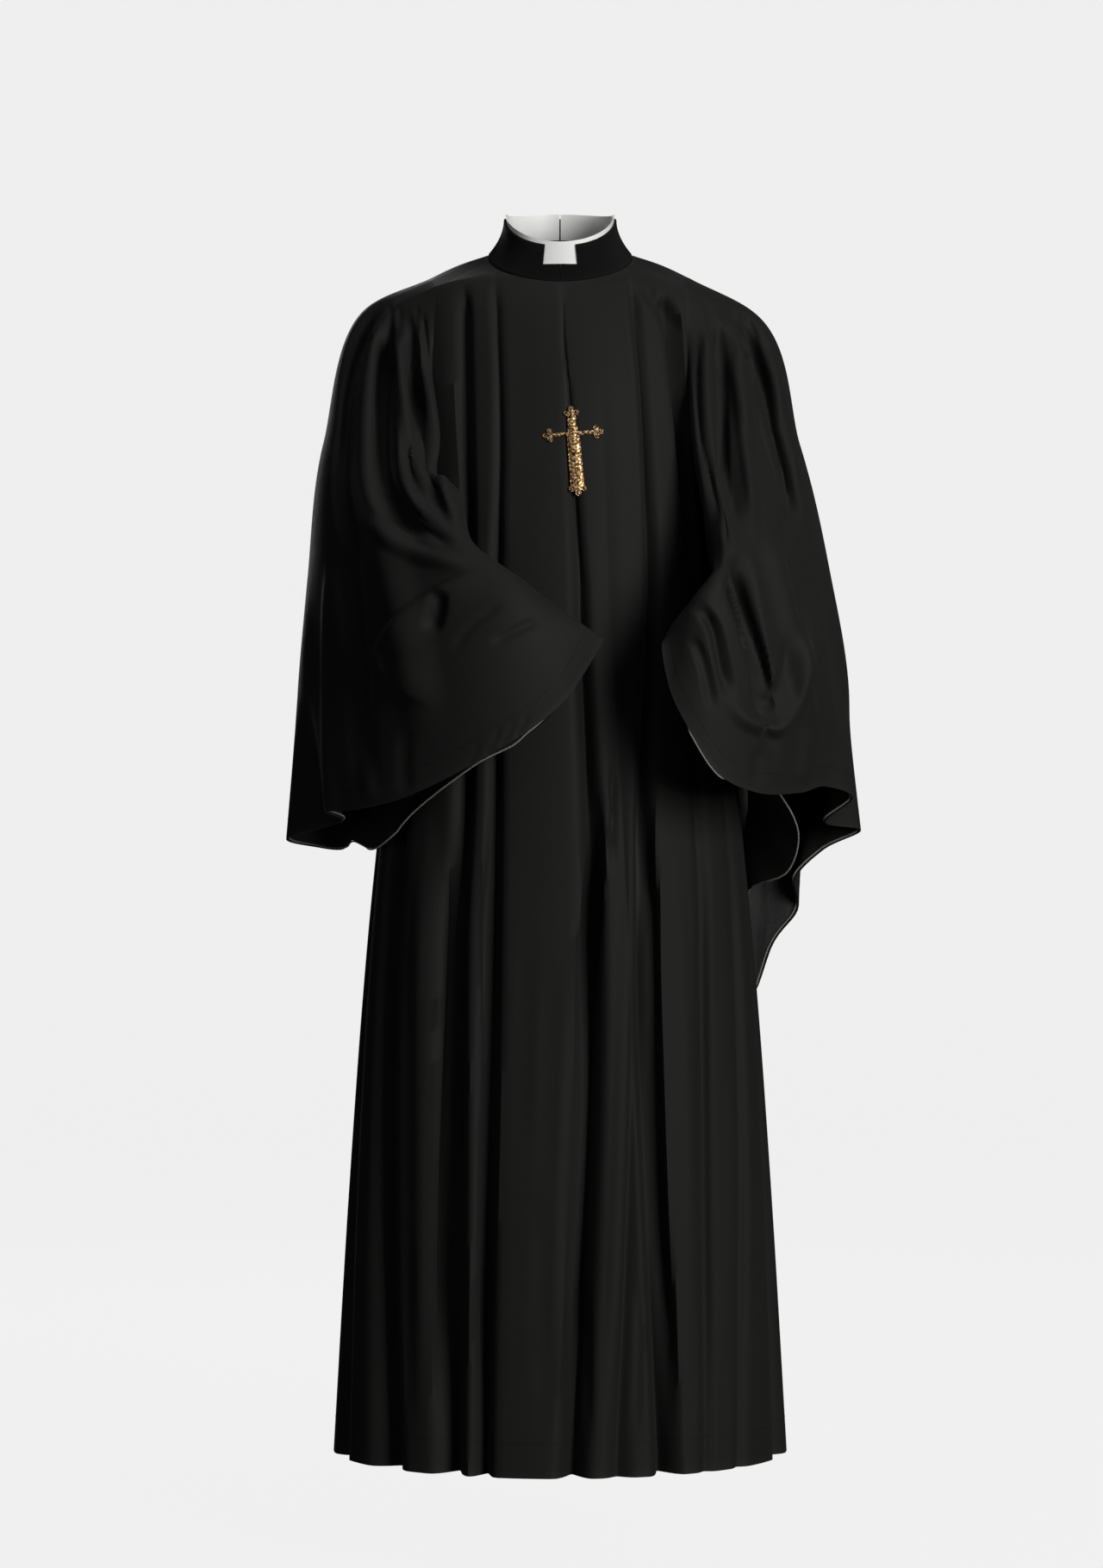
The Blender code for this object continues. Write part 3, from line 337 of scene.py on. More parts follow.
def cord_pale():
    cord = Finish("cord_pale", (0.4, 0.4, 0.38), 0.42, sheen_weight=0.2)
    fuzz = cord.noise(700.0)
    cord.paint(base_color=cord.mix(fuzz, (0.13, 0.125, 0.12), (0.27, 0.265, 0.25)),
               roughness=0.4 + fuzz * 0.2)
    cord.emboss(fuzz, 0.2, 0.0002)
    return cord.material


# %% Metal thread and sewing thread
def cross_gold():
    gold = Finish("cross_gold", (0.55, 0.36, 0.13), 0.35, metallic=0.92)
    thread = gold.noise(900.0, 2.0)
    tarnish = gold.noise(340.0, 2.0)
    clean = gold.ramp(tarnish, 0.44, 0.58)
    # Painted glints: pale highlight spots on the metal thread, in its colour.
    painted_glint = gold.ramp(gold.noise(460.0, 1.0), 0.52, 0.62)
    shade = gold.mix(clean, (0.075, 0.026, 0.006), (0.40, 0.235, 0.075))
    shade = gold.mix(painted_glint * 0.75, shade, (0.92, 0.78, 0.52))
    gold.paint(base_color=shade, roughness=0.24 + tarnish * 0.44)
    gold.emboss(thread, 0.5, 0.0005)
    return gold.material


def sewing_thread():
    thread = Finish("sewing_thread", (0.02, 0.02, 0.02), 0.6, specular_ior_level=0.1)
    ply = thread.noise(2500.0, 1.0)
    thread.paint(base_color=thread.mix(ply, (0.0035, 0.0035, 0.0035), (0.011, 0.0108, 0.0105)))
    thread.emboss(ply, 0.3, 0.0001)
    return thread.material


FINISHES = {make.__name__: make() for make in (
    robe_cloth, collar_cloth, facing_satin, insert_white, cord_pale, cross_gold, sewing_thread)}
print("finishes:", ", ".join(FINISHES))

# %% [markdown]
# ## The garment's named sizes
# The robe hangs as flutes round an oval body. A table gives the oval at each height, and a
# row for each valley gives its angle at four heights, its depth and its width. The same
# numbers made the solids, so the finer cloth lies exactly where they do. Most of the back
# is alike on both sides, so only its left valleys are listed.

# %% Sizes and the oval body
CLOTH = 0.0020
HEM_Z, BELLY_Z, WAIST_Z, CHEST_Z, OVER_TOP_Z = -1.412, -0.39, -0.715, -0.15, 0.05
NECK_HALF, NECK_FRONT_Z, NECK_SIDE_Z = 0.0865, -0.029, 0.014
NECK_BACK_Z, NECK_BACK_Y = 0.028, 0.068
ARM_CORNER = math.radians(47.8)
BACK_CORNER = math.radians(128.1)
OVALS = np.array([
    # height, half width, front, back
    (0.020, 0.197, 0.000, 0.062),
    (0.014, 0.197, 0.002, 0.070),
    (-0.029, 0.197, 0.088, 0.096),
    (-0.050, 0.197, 0.106, 0.106),
    (-0.080, 0.197, 0.119, 0.116),
    (-0.120, 0.197, 0.130, 0.126),
    (-0.200, 0.197, 0.143, 0.136),
    (-0.300, 0.197, 0.150, 0.136),
    (-0.450, 0.200, 0.157, 0.138),
    (-0.600, 0.211, 0.163, 0.150),
    (-0.800, 0.230, 0.172, 0.168),
    (-1.100, 0.252, 0.187, 0.188),
    (-1.420, 0.271, 0.202, 0.206),
])[::-1]
TOP_EDGE = np.array([
    # degrees from the front, height of the cut edge
    (0.0, -0.016), (24.0, -0.016), (47.8, -0.030), (49.1, -0.100), (50.2, -0.170),
    (54.0, -0.235), (67.0, -0.262), (90.0, -0.275), (111.0, -0.262), (119.2, -0.235),
    (125.7, -0.170), (128.1, -0.100), (180.0, -0.100),
])
print("hem", round(2 * OVALS[0, 1], 2), "m wide")

# %% The valleys between the flutes, round from the front by the left
LEFT_FLUTES = (
    # degrees at top, belly, waist and hem, bow, depth at chest, waist and hem (mm),
    # half width at chest and hem (mm)
    (0.0, 6.7, 9.6, 3.0, 0.0, 0.6, 24, 30, 8, 22),
    (13.0, 16.5, 20.0, 14.2, 0.0, 0.2, 5, 11, 14, 20),
    (24.3, 32.9, 25.9, 27.1, 1.5, 8, 26, 32, 9, 21),
    (38.3, 51.5, 47.6, 38.5, 1.5, 18, 7, 6, 13, 13),
    (58.5, 68.0, 65.7, 50.4, 0.0, 6, 5, 6, 14, 13),
    (76.0, 84.0, 84.0, 74.0, 0.0, 7, 14, 22, 15, 26),
)
BACK_FLUTES = (
    (104.0, 104.0, 102.0, 96.0, 0.0, 7, 16, 26, 15, 26),
    (120.0, 118.0, 117.0, 112.0, 0.0, 7, 17, 27, 14, 26),
    (131.0, 131.0, 131.0, 128.0, 0.0, 8, 18, 28, 13, 26),
    (143.0, 143.0, 143.0, 143.0, 0.0, 8, 18, 28, 13, 26),
    (155.0, 155.0, 156.0, 157.0, 0.0, 8, 18, 28, 13, 26),
    (168.0, 168.0, 169.0, 171.0, 0.0, 8, 18, 28, 13, 26),
)
RIGHT_FLUTES = (
    (284.0, 276.0, 276.0, 287.0, 0.0, 7, 14, 20, 15, 26),
    (301.5, 300.0, 298.7, 312.2, 0.0, 10, 19, 26, 15, 30),
    (324.6, 326.4, 328.8, 331.7, 0.5, 15, 21, 32, 12, 24),
    (336.7, 337.3, 339.7, 340.6, 2.0, 5, 18, 25, 9, 15),
)
MIRRORED = tuple(tuple(360.0 - angle for angle in row[:4]) + row[4:] for row in BACK_FLUTES[::-1])
FLUTES = LEFT_FLUTES + BACK_FLUTES + MIRRORED + RIGHT_FLUTES
print(len(FLUTES), "valleys round the body")


# %% Smooth lines and soft steps
def through(at_rows, values, at):
    """A smooth line through rows in rising order."""
    x = np.asarray(at_rows, float)
    y = np.asarray(values, float)
    at = np.clip(np.asarray(at, float), x[0], x[-1])
    step = np.diff(x)
    slope = np.diff(y, axis=0) / step.reshape((-1,) + (1,) * (y.ndim - 1))
    tangent = np.empty_like(y)
    tangent[0] = slope[0]
    tangent[-1] = slope[-1]
    for i in range(1, len(x) - 1):
        tangent[i] = (slope[i - 1] * step[i] + slope[i] * step[i - 1]) / (step[i - 1] + step[i])
    i = np.clip(np.searchsorted(x, at, side="right") - 1, 0, len(x) - 2)
    t = (at - x[i]) / step[i]
    h = step[i]
    t = t.reshape(t.shape + (1,) * (y.ndim - 1))
    h = h.reshape(h.shape + (1,) * (y.ndim - 1))
    return ((2 * t**3 - 3 * t**2 + 1) * y[i] + (t**3 - 2 * t**2 + t) * h * tangent[i]
            + (3 * t**2 - 2 * t**3) * y[i + 1] + (t**3 - t**2) * h * tangent[i + 1])


def ease(value):
    """A soft step from 0 to 1."""
    t = np.clip(value, 0.0, 1.0)
    return t * t * (3 - 2 * t)


def bump(far, wide):
    """A soft hill of height 1 in the middle and 0 at its half width."""
    return 0.5 + 0.5 * np.cos(np.pi * np.clip(far / wide, 0, 1))


def unit(v):
    return v / np.maximum(np.linalg.norm(v, axis=-1, keepdims=True), 1e-12)


def run_of(line):
    """The length run along a line at each of its points."""
    return np.concatenate([[0], np.cumsum(np.linalg.norm(np.diff(line, axis=0), axis=1))])


print("halfway up a soft step:", ease(0.5))

# %% A point on the robe
LEAST_DEPTH = 0.02
LEVEL_OVER_BELLY = 0.2  # so that a valley meets the belly without a turn
WAIST_LIKE_HEM, WAIST_LIKE_CHEST = 0.55, 0.45  # a valley's width at the waist
VALLEY_BOTTOM = 0.002  # radius that rounds a valley's bottom
VALLEY_START = 0.055  # the valleys are at full depth this far below the top edge
DEPTH_HEIGHTS = (HEM_Z, WAIST_Z, CHEST_Z, OVER_TOP_Z)


def oval(z):
    """Half width, front and back of the body at a height."""
    return tuple(through(OVALS[:, 0], OVALS[:, k], z) for k in (1, 2, 3))


def top_edge(u):
    degrees = np.mod(np.degrees(u), 360.0)
    return np.interp(np.where(degrees > 180.0, 360.0 - degrees, degrees),
                     TOP_EDGE[:, 0], TOP_EDGE[:, 1])


def valley_angle(row, z):
    """The angle of a valley at a height, in degrees."""
    top, belly, waist, hem, bow = row[:5]
    top_z = float(top_edge(math.radians(top)))
    share = np.clip((top_z - z) / (top_z - BELLY_Z), 0.0, 1.0)
    upper = top + (belly - top) * share + 4 * bow * share * (1 - share)
    lower = through((HEM_Z, WAIST_Z, BELLY_Z, BELLY_Z + LEVEL_OVER_BELLY),
                    (hem, waist, belly, belly), z)
    return np.where(z > BELLY_Z, upper, lower)


def body(u, z):
    """A point on the robe's outer face, at an angle round the body and a height."""
    a, front, back = oval(z)
    deep = np.where(np.cos(u) > 0, front, back)
    out_x = np.sin(u) / a
    out_y = -np.cos(u) / np.maximum(deep, LEAST_DEPTH)
    size = np.hypot(out_x, out_y)
    metric = np.hypot(a * np.cos(u), deep * np.sin(u))
    depth = np.zeros(u.shape)
    for row in FLUTES:
        chest_depth, waist_depth, hem_depth, chest_width, hem_width = row[5:]
        away = np.degrees(u) - valley_angle(row, z)
        away = np.radians((away + 180.0) % 360.0 - 180.0)
        depths = (hem_depth, waist_depth, chest_depth, chest_depth)
        deepness = np.interp(z, DEPTH_HEIGHTS, depths) / 1000
        waist_width = WAIST_LIKE_HEM * hem_width + WAIST_LIKE_CHEST * chest_width
        widths = (hem_width, waist_width, chest_width, chest_width)
        wide = np.interp(z, DEPTH_HEIGHTS, widths) / 1000
        far = np.sqrt((away * metric) ** 2 + VALLEY_BOTTOM**2) - VALLEY_BOTTOM
        depth += deepness * (1 - np.sin(0.5 * np.pi * np.clip(far / wide, 0, 1)))
    depth *= ease((top_edge(u) - z) / VALLEY_START)
    return np.stack([a * np.sin(u) - depth * out_x / size,
                     -deep * np.cos(u) - depth * out_y / size, z], axis=-1)


middle_front = body(np.zeros(1), np.full(1, WAIST_Z))[0]
print("middle of the front at the waist:", middle_front.round(3))

# %% [markdown]
# ## Small creases, placed one by one
# Gathers, swags and drag lines are short strokes. Each has a name, a kind, a height (a
# valley is below 0), a half width and a line in millimetres, as seen from the front or the
# back. A "fold" is a soft ridge or trough along its line; a "lip" is a step, where one fold
# of cloth lies over the next. The back's creases are those that a worn robe has there.

# %% Creases of the right sleeve
RIGHT_SLEEVE_CREASES = {
    # name: kind, height and half width (mm), points of its line (mm across, mm up)
    "head_outer": ("fold", -7, 11, (-219, -49), (-237, -103), (-249, -144), (-255, -196),
        (-258, -258)),
    "head_long": ("fold", -15, 17, (-206, -52), (-208, -93), (-210, -173), (-204, -240),
        (-187, -288), (-154, -313), (-124, -328)),
    "head_front": ("fold", -13, 11, (-182, -43), (-178, -93), (-169, -172), (-159, -240),
        (-144, -288), (-122, -321)),
    "head_seam": ("fold", -4, 6, (-165, -49), (-161, -94), (-157, -144)),
    "gather_1": ("fold", -2.5, 6, (-202, -41), (-203, -64), (-205, -93)),
    "gather_2": ("fold", -2.5, 6, (-193, -43), (-192, -70), (-191, -98)),
    "gather_3": ("fold", -2, 5, (-172, -43), (-171, -62), (-169, -84)),
    "front_small": ("fold", -3, 8, (-138, -165), (-136, -208), (-130, -252)),
    "rise_outer": ("fold", 6, 13, (-215, -54), (-222, -93), (-230, -175), (-230, -240),
        (-221, -295)),
    "rise_middle": ("fold", 6, 10, (-195, -47), (-193, -93), (-186, -172), (-174, -240),
        (-157, -294)),
    "rise_front": ("fold", 6, 9, (-169, -62), (-164, -103), (-154, -172), (-142, -240),
        (-130, -294)),
    "swag_rise": ("fold", 9, 16, (-229, -290), (-211, -320), (-178, -340), (-138, -351),
        (-97, -356)),
    "swag_dip": ("fold", -6, 12, (-210, -288), (-185, -309), (-154, -321), (-124, -332)),
    "overlap": ("lip", 9, 46, (-91, -355), (-124, -372), (-154, -389), (-190, -414),
        (-213, -441), (-220, -464), (-214, -486), (-196, -506), (-169, -521), (-142, -534)),
    "dent": ("fold", -10, 15, (-142, -385), (-146, -408), (-157, -439)),
    "forearm_slant": ("fold", -3.5, 10, (-23, -420), (-52, -434), (-87, -451)),
    "forearm_top": ("fold", -2.5, 9, (-67, -402), (-93, -418), (-117, -441), (-132, -464)),
    "outer_fold": ("lip", 5, 30, (-280, -340), (-284, -443), (-284, -546), (-282, -653)),
    "pucker_1": ("fold", -1.4, 6, (-93, -587), (-80, -569), (-72, -548)),
    "pucker_2": ("fold", -1.4, 6, (-74, -575), (-62, -558), (-54, -540)),
    "pucker_3": ("fold", -1.2, 6, (-56, -562), (-45, -548), (-38, -531)),
    "pucker_4": ("fold", -1.2, 6, (-113, -597), (-103, -583), (-97, -566)),
    "hem_wave_1": ("fold", 2.5, 14, (-227, -645), (-233, -587), (-237, -525)),
    "hem_wave_2": ("fold", -2.5, 14, (-185, -633), (-187, -587), (-183, -546)),
}
print(len(RIGHT_SLEEVE_CREASES), "creases on the right sleeve")

# %% Creases of the left sleeve
LEFT_SLEEVE_CREASES = {
    "head_front": ("fold", -13, 10, (188, -54), (192, -122), (193, -193), (195, -258),
        (202, -355)),
    "head_hook": ("fold", -3, 7, (194, -54), (199, -66), (208, -84)),
    "head_outer": ("fold", -14, 13, (213, -47), (229, -97), (243, -143), (255, -191),
        (270, -247), (277, -288), (270, -319), (255, -340)),
    "gather_1": ("fold", -2.5, 6, (177, -43), (178, -64), (179, -89)),
    "gather_2": ("fold", -2.5, 6, (204, -47), (209, -68), (216, -91)),
    "gather_3": ("fold", -2, 5, (222, -54), (230, -70), (238, -89)),
    "rise_front": ("fold", 6, 11, (175, -52), (174, -124), (175, -196), (179, -273)),
    "rise_middle": ("fold", 7, 13, (205, -88), (214, -144), (224, -216), (236, -309)),
    "rise_outer": ("fold", 4, 12, (245, -93), (261, -144), (275, -206), (288, -278)),
    "fall_middle": ("fold", -3, 10, (218, -165), (229, -237), (239, -299), (245, -350)),
    "bend_inner": ("fold", -11, 12, (161, -402), (181, -427), (194, -474), (204, -520)),
    "bend_outer": ("fold", -13, 16, (199, -356), (214, -402), (235, -464), (255, -538)),
    "swag_rise": ("fold", 10, 15, (199, -505), (222, -542), (258, -551), (283, -517),
        (297, -443), (302, -381)),
    "swag_dip": ("fold", -6, 12, (225, -505), (250, -523), (266, -494), (274, -433)),
    "elbow_line": ("lip", 6, 30, (198, -350), (170, -386), (142, -420), (117, -453)),
    "elbow_inner": ("fold", -5, 11, (154, -438), (167, -464), (177, -500), (183, -536)),
    "hem_wave_1": ("fold", -3, 14, (237, -623), (235, -597), (237, -573)),
    "hem_wave_2": ("fold", 3, 14, (288, -620), (293, -587), (299, -546)),
    "outer_fall": ("fold", -4, 14, (314, -340), (325, -422), (335, -505), (343, -587)),
}
print(len(LEFT_SLEEVE_CREASES), "creases on the left sleeve")

# %% Creases of the fronts
BODY_CREASES = {
    "strip_edge_right": ("lip", 2.2, 26, (113, -340), (110, -258), (106, -196), (101, -134),
        (93, -72), (84, -33), (78, 5)),
    "strip_edge_left": ("lip", 2.0, 26, (-75, -15), (-74, -72), (-70, -144), (-68, -216),
        (-71, -299), (-62, -381)),
    "yoke_hollow": ("fold", -7, 13, (97, -16), (113, -37), (126, -58), (136, -84)),
    "yoke_line": ("fold", -3.5, 7, (126, -21), (133, -69), (143, -144), (153, -188),
        (164, -237)),
    "chest_pleat": ("fold", -2.5, 8, (-112, -36), (-113, -93), (-114, -165), (-113, -258),
        (-112, -319)),
    "lap_line": ("fold", -3, 2.6, (2, -21), (5, -93), (11, -154), (14, -216), (19, -288),
        (23, -350), (26, -422)),
    "cuff_pleat_1": ("fold", -6, 7, (63, -592), (64, -649), (63, -726)),
    "cuff_pleat_2": ("fold", -17, 15, (97, -597), (101, -690), (108, -814), (110, -968),
        (116, -1123), (126, -1277), (134, -1421)),
    "cuff_rise": ("fold", 5, 13, (80, -608), (81, -711), (79, -865), (74, -1020), (68, -1174),
        (60, -1421)),
    "left_pleat": ("fold", -3, 9, (-146, -633), (-148, -670), (-147, -731), (-151, -814),
        (-157, -937)),
    "right_fall_1": ("fold", -3.5, 12, (167, -608), (171, -721), (169, -917), (170, -1123),
        (174, -1329), (175, -1421)),
    "right_fall_2": ("fold", -3, 12, (202, -608), (206, -721), (212, -917), (216, -1123),
        (209, -1329), (212, -1421)),
    "right_rise_1": ("fold", 2.5, 12, (137, -670), (144, -814), (151, -1020), (151, -1226),
        (154, -1411)),
    "hem_ripple_1": ("fold", -3, 10, (27, -1205), (31, -1308), (34, -1421)),
    "hem_ripple_2": ("fold", -3, 9, (95, -1205), (93, -1308), (89, -1421)),
    "hem_ripple_3": ("fold", -2.5, 9, (-177, -1143), (-179, -1267), (-183, -1421)),
    "hem_ripple_4": ("fold", -2.5, 10, (-23, -1102), (-21, -1246), (-19, -1421)),
    "band_1": ("fold", -22, 19, (-130, -639), (-133, -762), (-135, -968), (-136, -1174),
        (-138, -1421)),
    "band_rise": ("fold", 5, 10, (-105, -639), (-106, -814), (-106, -1123), (-108, -1421)),
    "ridge_left": ("fold", 6, 15, (-166, -670), (-166, -917), (-166, -1174), (-168, -1421)),
    "band_2": ("fold", -9, 9, (-83, -639), (-85, -762), (-87, -968), (-89, -1174),
        (-91, -1421)),
    "band_3": ("fold", -16, 15, (45, -597), (41, -711), (31, -865), (25, -968), (19, -1123),
        (10, -1421)),
    "skirt_line_1": ("fold", -2, 10, (-41, -772), (-45, -917), (-49, -1082)),
    "skirt_line_2": ("fold", -2, 9, (-10, -834), (-14, -999), (-23, -1143)),
}
print(len(BODY_CREASES), "creases on the fronts")

# %% Creases of the back and of the sleeves' backs
BACK_CREASES = {
    "yoke_gather_1": ("fold", -2, 7, (-96, -104), (-98, -160), (-100, -230)),
    "yoke_gather_2": ("fold", -2, 7, (-58, -104), (-57, -170), (-55, -260)),
    "yoke_gather_3": ("fold", -2, 8, (0, -104), (1, -200), (-2, -330)),
    "yoke_gather_4": ("fold", -2, 7, (46, -104), (48, -165), (52, -225)),
    "yoke_gather_5": ("fold", -2, 7, (92, -104), (95, -180), (97, -280)),
    "skirt_fall_1": ("fold", -3, 12, (-168, -700), (-176, -980), (-184, -1300)),
    "skirt_fall_2": ("fold", 3, 12, (-22, -640), (-18, -930), (-12, -1260)),
    "skirt_fall_3": ("fold", -3, 11, (112, -760), (120, -1010), (131, -1390)),
    "sleeve_gather_1": ("fold", -4, 10, (-188, -70), (-202, -150), (-216, -270)),
    "sleeve_gather_2": ("fold", -3, 8, (-206, -62), (-228, -140), (-246, -230)),
    "sleeve_gather_3": ("fold", 4, 10, (-176, -120), (-190, -220), (-206, -330)),
    "sleeve_swag_1": ("fold", 5, 16, (-300, -360), (-262, -420), (-214, -450), (-170, -446)),
    "sleeve_swag_2": ("fold", -4, 14, (-306, -420), (-266, -486), (-220, -520)),
    "sleeve_fall_1": ("fold", -3, 13, (-282, -520), (-286, -600), (-284, -690)),
    "sleeve_gather_4": ("fold", -4, 10, (188, -66), (203, -160), (214, -290)),
    "sleeve_gather_5": ("fold", -3, 9, (208, -64), (231, -136), (252, -246)),
    "sleeve_gather_6": ("fold", 4, 10, (176, -124), (191, -214), (202, -300)),
    "sleeve_swag_3": ("fold", 5, 16, (312, -350), (276, -416), (226, -452), (172, -440)),
    "sleeve_swag_4": ("fold", -4, 14, (322, -430), (282, -500), (230, -540)),
    "sleeve_fall_2": ("fold", -4, 14, (262, -560), (268, -660), (262, -790)),
}
print(len(BACK_CREASES), "creases on the back")


# %% How far the creases move a point
LINE_POINTS = 28
LIP_SHARPNESS = 0.003
FADE_IN, FADE_OUT = 0.22, 0.3  # shares of a crease's line
TURNED_FROM, TURNED_OVER = 0.05, 0.3  # cloth that faces sideways gets no crease


def crease_line(points):
    """A smooth line through a crease's points, in metres."""
    line = np.array(points, float) / 1000
    run = run_of(line)
    return through(run, line, np.linspace(0, run[-1], LINE_POINTS))


def nearest(place, line):
    """Distance to a line, which side of it, and how far along its nearest point lies."""
    start, step = line[:-1], np.diff(line, axis=0)
    off = place[:, None] - start[None]
    t = np.clip((off * step).sum(-1) / (step**2).sum(-1), 0, 1)
    away = off - t[..., None] * step[None]
    far = np.linalg.norm(away, axis=-1)
    best = far.argmin(axis=1)
    rows = np.arange(len(place))
    side = np.sign(step[best, 0] * away[rows, best, 1] - step[best, 1] * away[rows, best, 0])
    return far[rows, best], side, (best + t[rows, best]) / len(step)


def creased(points, normals, creases, from_back=False):
    """How far a table of creases moves each point of a grid along its normal."""
    flat, facing = points.reshape(-1, 3), normals.reshape(-1, 3)[:, 1]
    scale = 1.0 if from_back else EYE[1] / (EYE[1] + flat[:, 1])
    seen = np.stack([flat[:, 0] * scale, (flat[:, 2] - EYE[2]) * scale + EYE[2]], axis=-1)
    turned = ease(((facing if from_back else -facing) - TURNED_FROM) / TURNED_OVER)
    move = np.zeros(len(flat))
    for kind, high, wide, *points_along in creases.values():
        line, wide, high = crease_line(points_along), wide / 1000, high / 1000
        low, top = line.min(0) - wide, line.max(0) + wide
        near = np.flatnonzero(((seen > low) & (seen < top)).all(axis=1) & (turned > 0))
        far, side, along = nearest(seen[near], line)
        ends = ease(along / FADE_IN) * ease((1 - along) / FADE_OUT)
        if kind == "fold":
            across = bump(far, wide)
        else:
            across = (0.5 + 0.5 * np.tanh(side * far / LIP_SHARPNESS)) * (1 - ease(far / wide))
        move[near] += high * across * ends * turned[near]
    return move.reshape(points.shape[:-1])


print("a crease's line has", LINE_POINTS, "points")

# %% [markdown]
# ## From a grid of points to a cloth wall
# Cloth has two faces and a thin edge, so each piece is a grid of outer points, the same
# grid moved in by the cloth's thickness, and a strip that closes the rim. Its UV map is
# the cloth's own length and width, and "press" marks what the iron has flattened, where
# the finishes paint a lighter sheen.

# %% Measures of a grid of points, rows by columns
def grid_normals(grid, wrap=False):
    """Directions away from a grid; wrap joins its last column to its first."""
    if wrap:
        across = np.roll(grid, -1, axis=1) - np.roll(grid, 1, axis=1)
    else:
        across = np.gradient(grid, axis=1)
    return unit(np.cross(across, np.gradient(grid, axis=0)))


def run_along(grid, axis):
    """The length run at each point, along the columns (axis 0) or the rows (axis 1)."""
    step = np.linalg.norm(np.diff(grid, axis=axis), axis=-1)
    pad = [(0, 0), (0, 0)]
    pad[axis] = (1, 0)
    return np.pad(np.cumsum(step, axis=axis), pad)


def joined(grid):
    """A grid with its first column repeated after its last."""
    return np.concatenate([grid, grid[:, :1]], axis=1)


def flat_cut(grid, wrap=False):
    """The size that a piece was cut to: width, length and area."""
    closed = joined(grid) if wrap else grid
    first = closed[1:, 1:] - closed[:-1, :-1]
    second = closed[1:, :-1] - closed[:-1, 1:]
    area = np.linalg.norm(np.cross(first, second), axis=-1).sum() / 2
    width = run_along(closed, 1)[:, -1].max()
    length = run_along(closed, 0)[-1].max()
    length = max(length, area / width)
    return round(float(width), 3), round(float(length), 3), round(float(area), 3)


# %% A mesh with its cloth's own UV map
FOLD_ANGLE = math.radians(48)
PRESS_WIDTH = 0.009


def as_object(name, points, faces, finish, uv=None, press=None):
    mesh = bpy.data.meshes.new(name)
    mesh.from_pydata(np.asarray(points, float).tolist(), [], np.asarray(faces).tolist())
    corner = np.empty(len(mesh.loops), np.int32)
    mesh.loops.foreach_get("vertex_index", corner)
    if uv is not None:
        layer = mesh.uv_layers.new(name="cloth")
        layer.data.foreach_set("uv", uv[corner].astype(np.float32).ravel())
        mark = mesh.attributes.new("press", "FLOAT", "POINT")
        mark.data.foreach_set("value", press.astype(np.float32))
    mesh.polygons.foreach_set("use_smooth", [True] * len(mesh.polygons))
    mesh.set_sharp_from_angle(angle=FOLD_ANGLE)
    mesh.materials.append(FINISHES[finish])
    return add_object(name, mesh)


# %% One closed cloth wall
def wall_faces(rows, columns, wrap):
    """Faces of the outer grid, the inner grid after it, and the rim between them."""
    half = rows * columns
    index = np.arange(half).reshape(rows, columns)
    if wrap:
        index = joined(index)
    a, b = index[:-1, :-1].ravel(), index[:-1, 1:].ravel()
    c, d = index[1:, 1:].ravel(), index[1:, :-1].ravel()
    faces = [np.stack([a, b, c, d], 1), np.stack([d, c, b, a], 1) + half]
    rims = [(index[0], False), (index[-1], True)]
    if not wrap:
        rims += [(index[:, 0], True), (index[:, -1], False)]
    for line, flip in rims:
        strip = np.stack([line[:-1], line[:-1] + half, line[1:] + half, line[1:]], 1)
        faces.append(strip[:, ::-1] if flip else strip)
    return np.concatenate(faces)


def cloth_wall(name, outer, inner, finish, wrap=False, pressed_edges=("top", "bottom")):
    rows, columns = outer.shape[:2]
    faces = wall_faces(rows, columns, wrap)
    points = np.concatenate([outer.reshape(-1, 3), inner.reshape(-1, 3)])
    p = points[faces]
    volume = np.einsum("ij,ij->i", p[:, 0], np.cross(p[:, 1], p[:, 2])).sum()
    volume += np.einsum("ij,ij->i", p[:, 0], np.cross(p[:, 2], p[:, 3])).sum()
    if volume < 0:
        faces = faces[:, ::-1]
    from_left, down = run_along(outer, 1), run_along(outer, 0)
    from_edge = {"top": down, "bottom": down[-1:] - down,
                 "left": from_left, "right": from_left[:, -1:] - from_left}
    across = from_left - from_left[:, columns // 2:columns // 2 + 1]
    uv = np.stack([across.ravel(), -down.ravel()], 1)
    near = np.min([from_edge[edge] for edge in pressed_edges], axis=0)
    press = (1 - ease(near / PRESS_WIDTH)).ravel()
    obj = as_object(name, points, faces, finish, np.tile(uv, (2, 1)), np.tile(press, 2))
    print(f"{name}: {len(faces) * 2} triangles")
    return obj


# %% What a piece stands for
ALL_EDGES = ("top", "bottom", "left", "right")


def declare(obj, nodes, grid=None, wrap=False):
    """Rides on the robe's one body and stands for its solids; cloth also states its cut."""
    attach(obj, "root")
    if nodes:
        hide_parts(*nodes)
    if grid is not None:
        width, length, area = flat_cut(grid, wrap)
        print(f"  cut {width} by {length} m, {area} m2")


# %% [markdown]
# ## Fronts, side fronts and back
# Each piece of the body runs from valley to valley. Columns of points crowd towards the
# valleys, where the cloth turns sharply, and rows are even from neck to hem. Creases move
# both faces together, so the wall keeps its thickness and the seams stay shut.

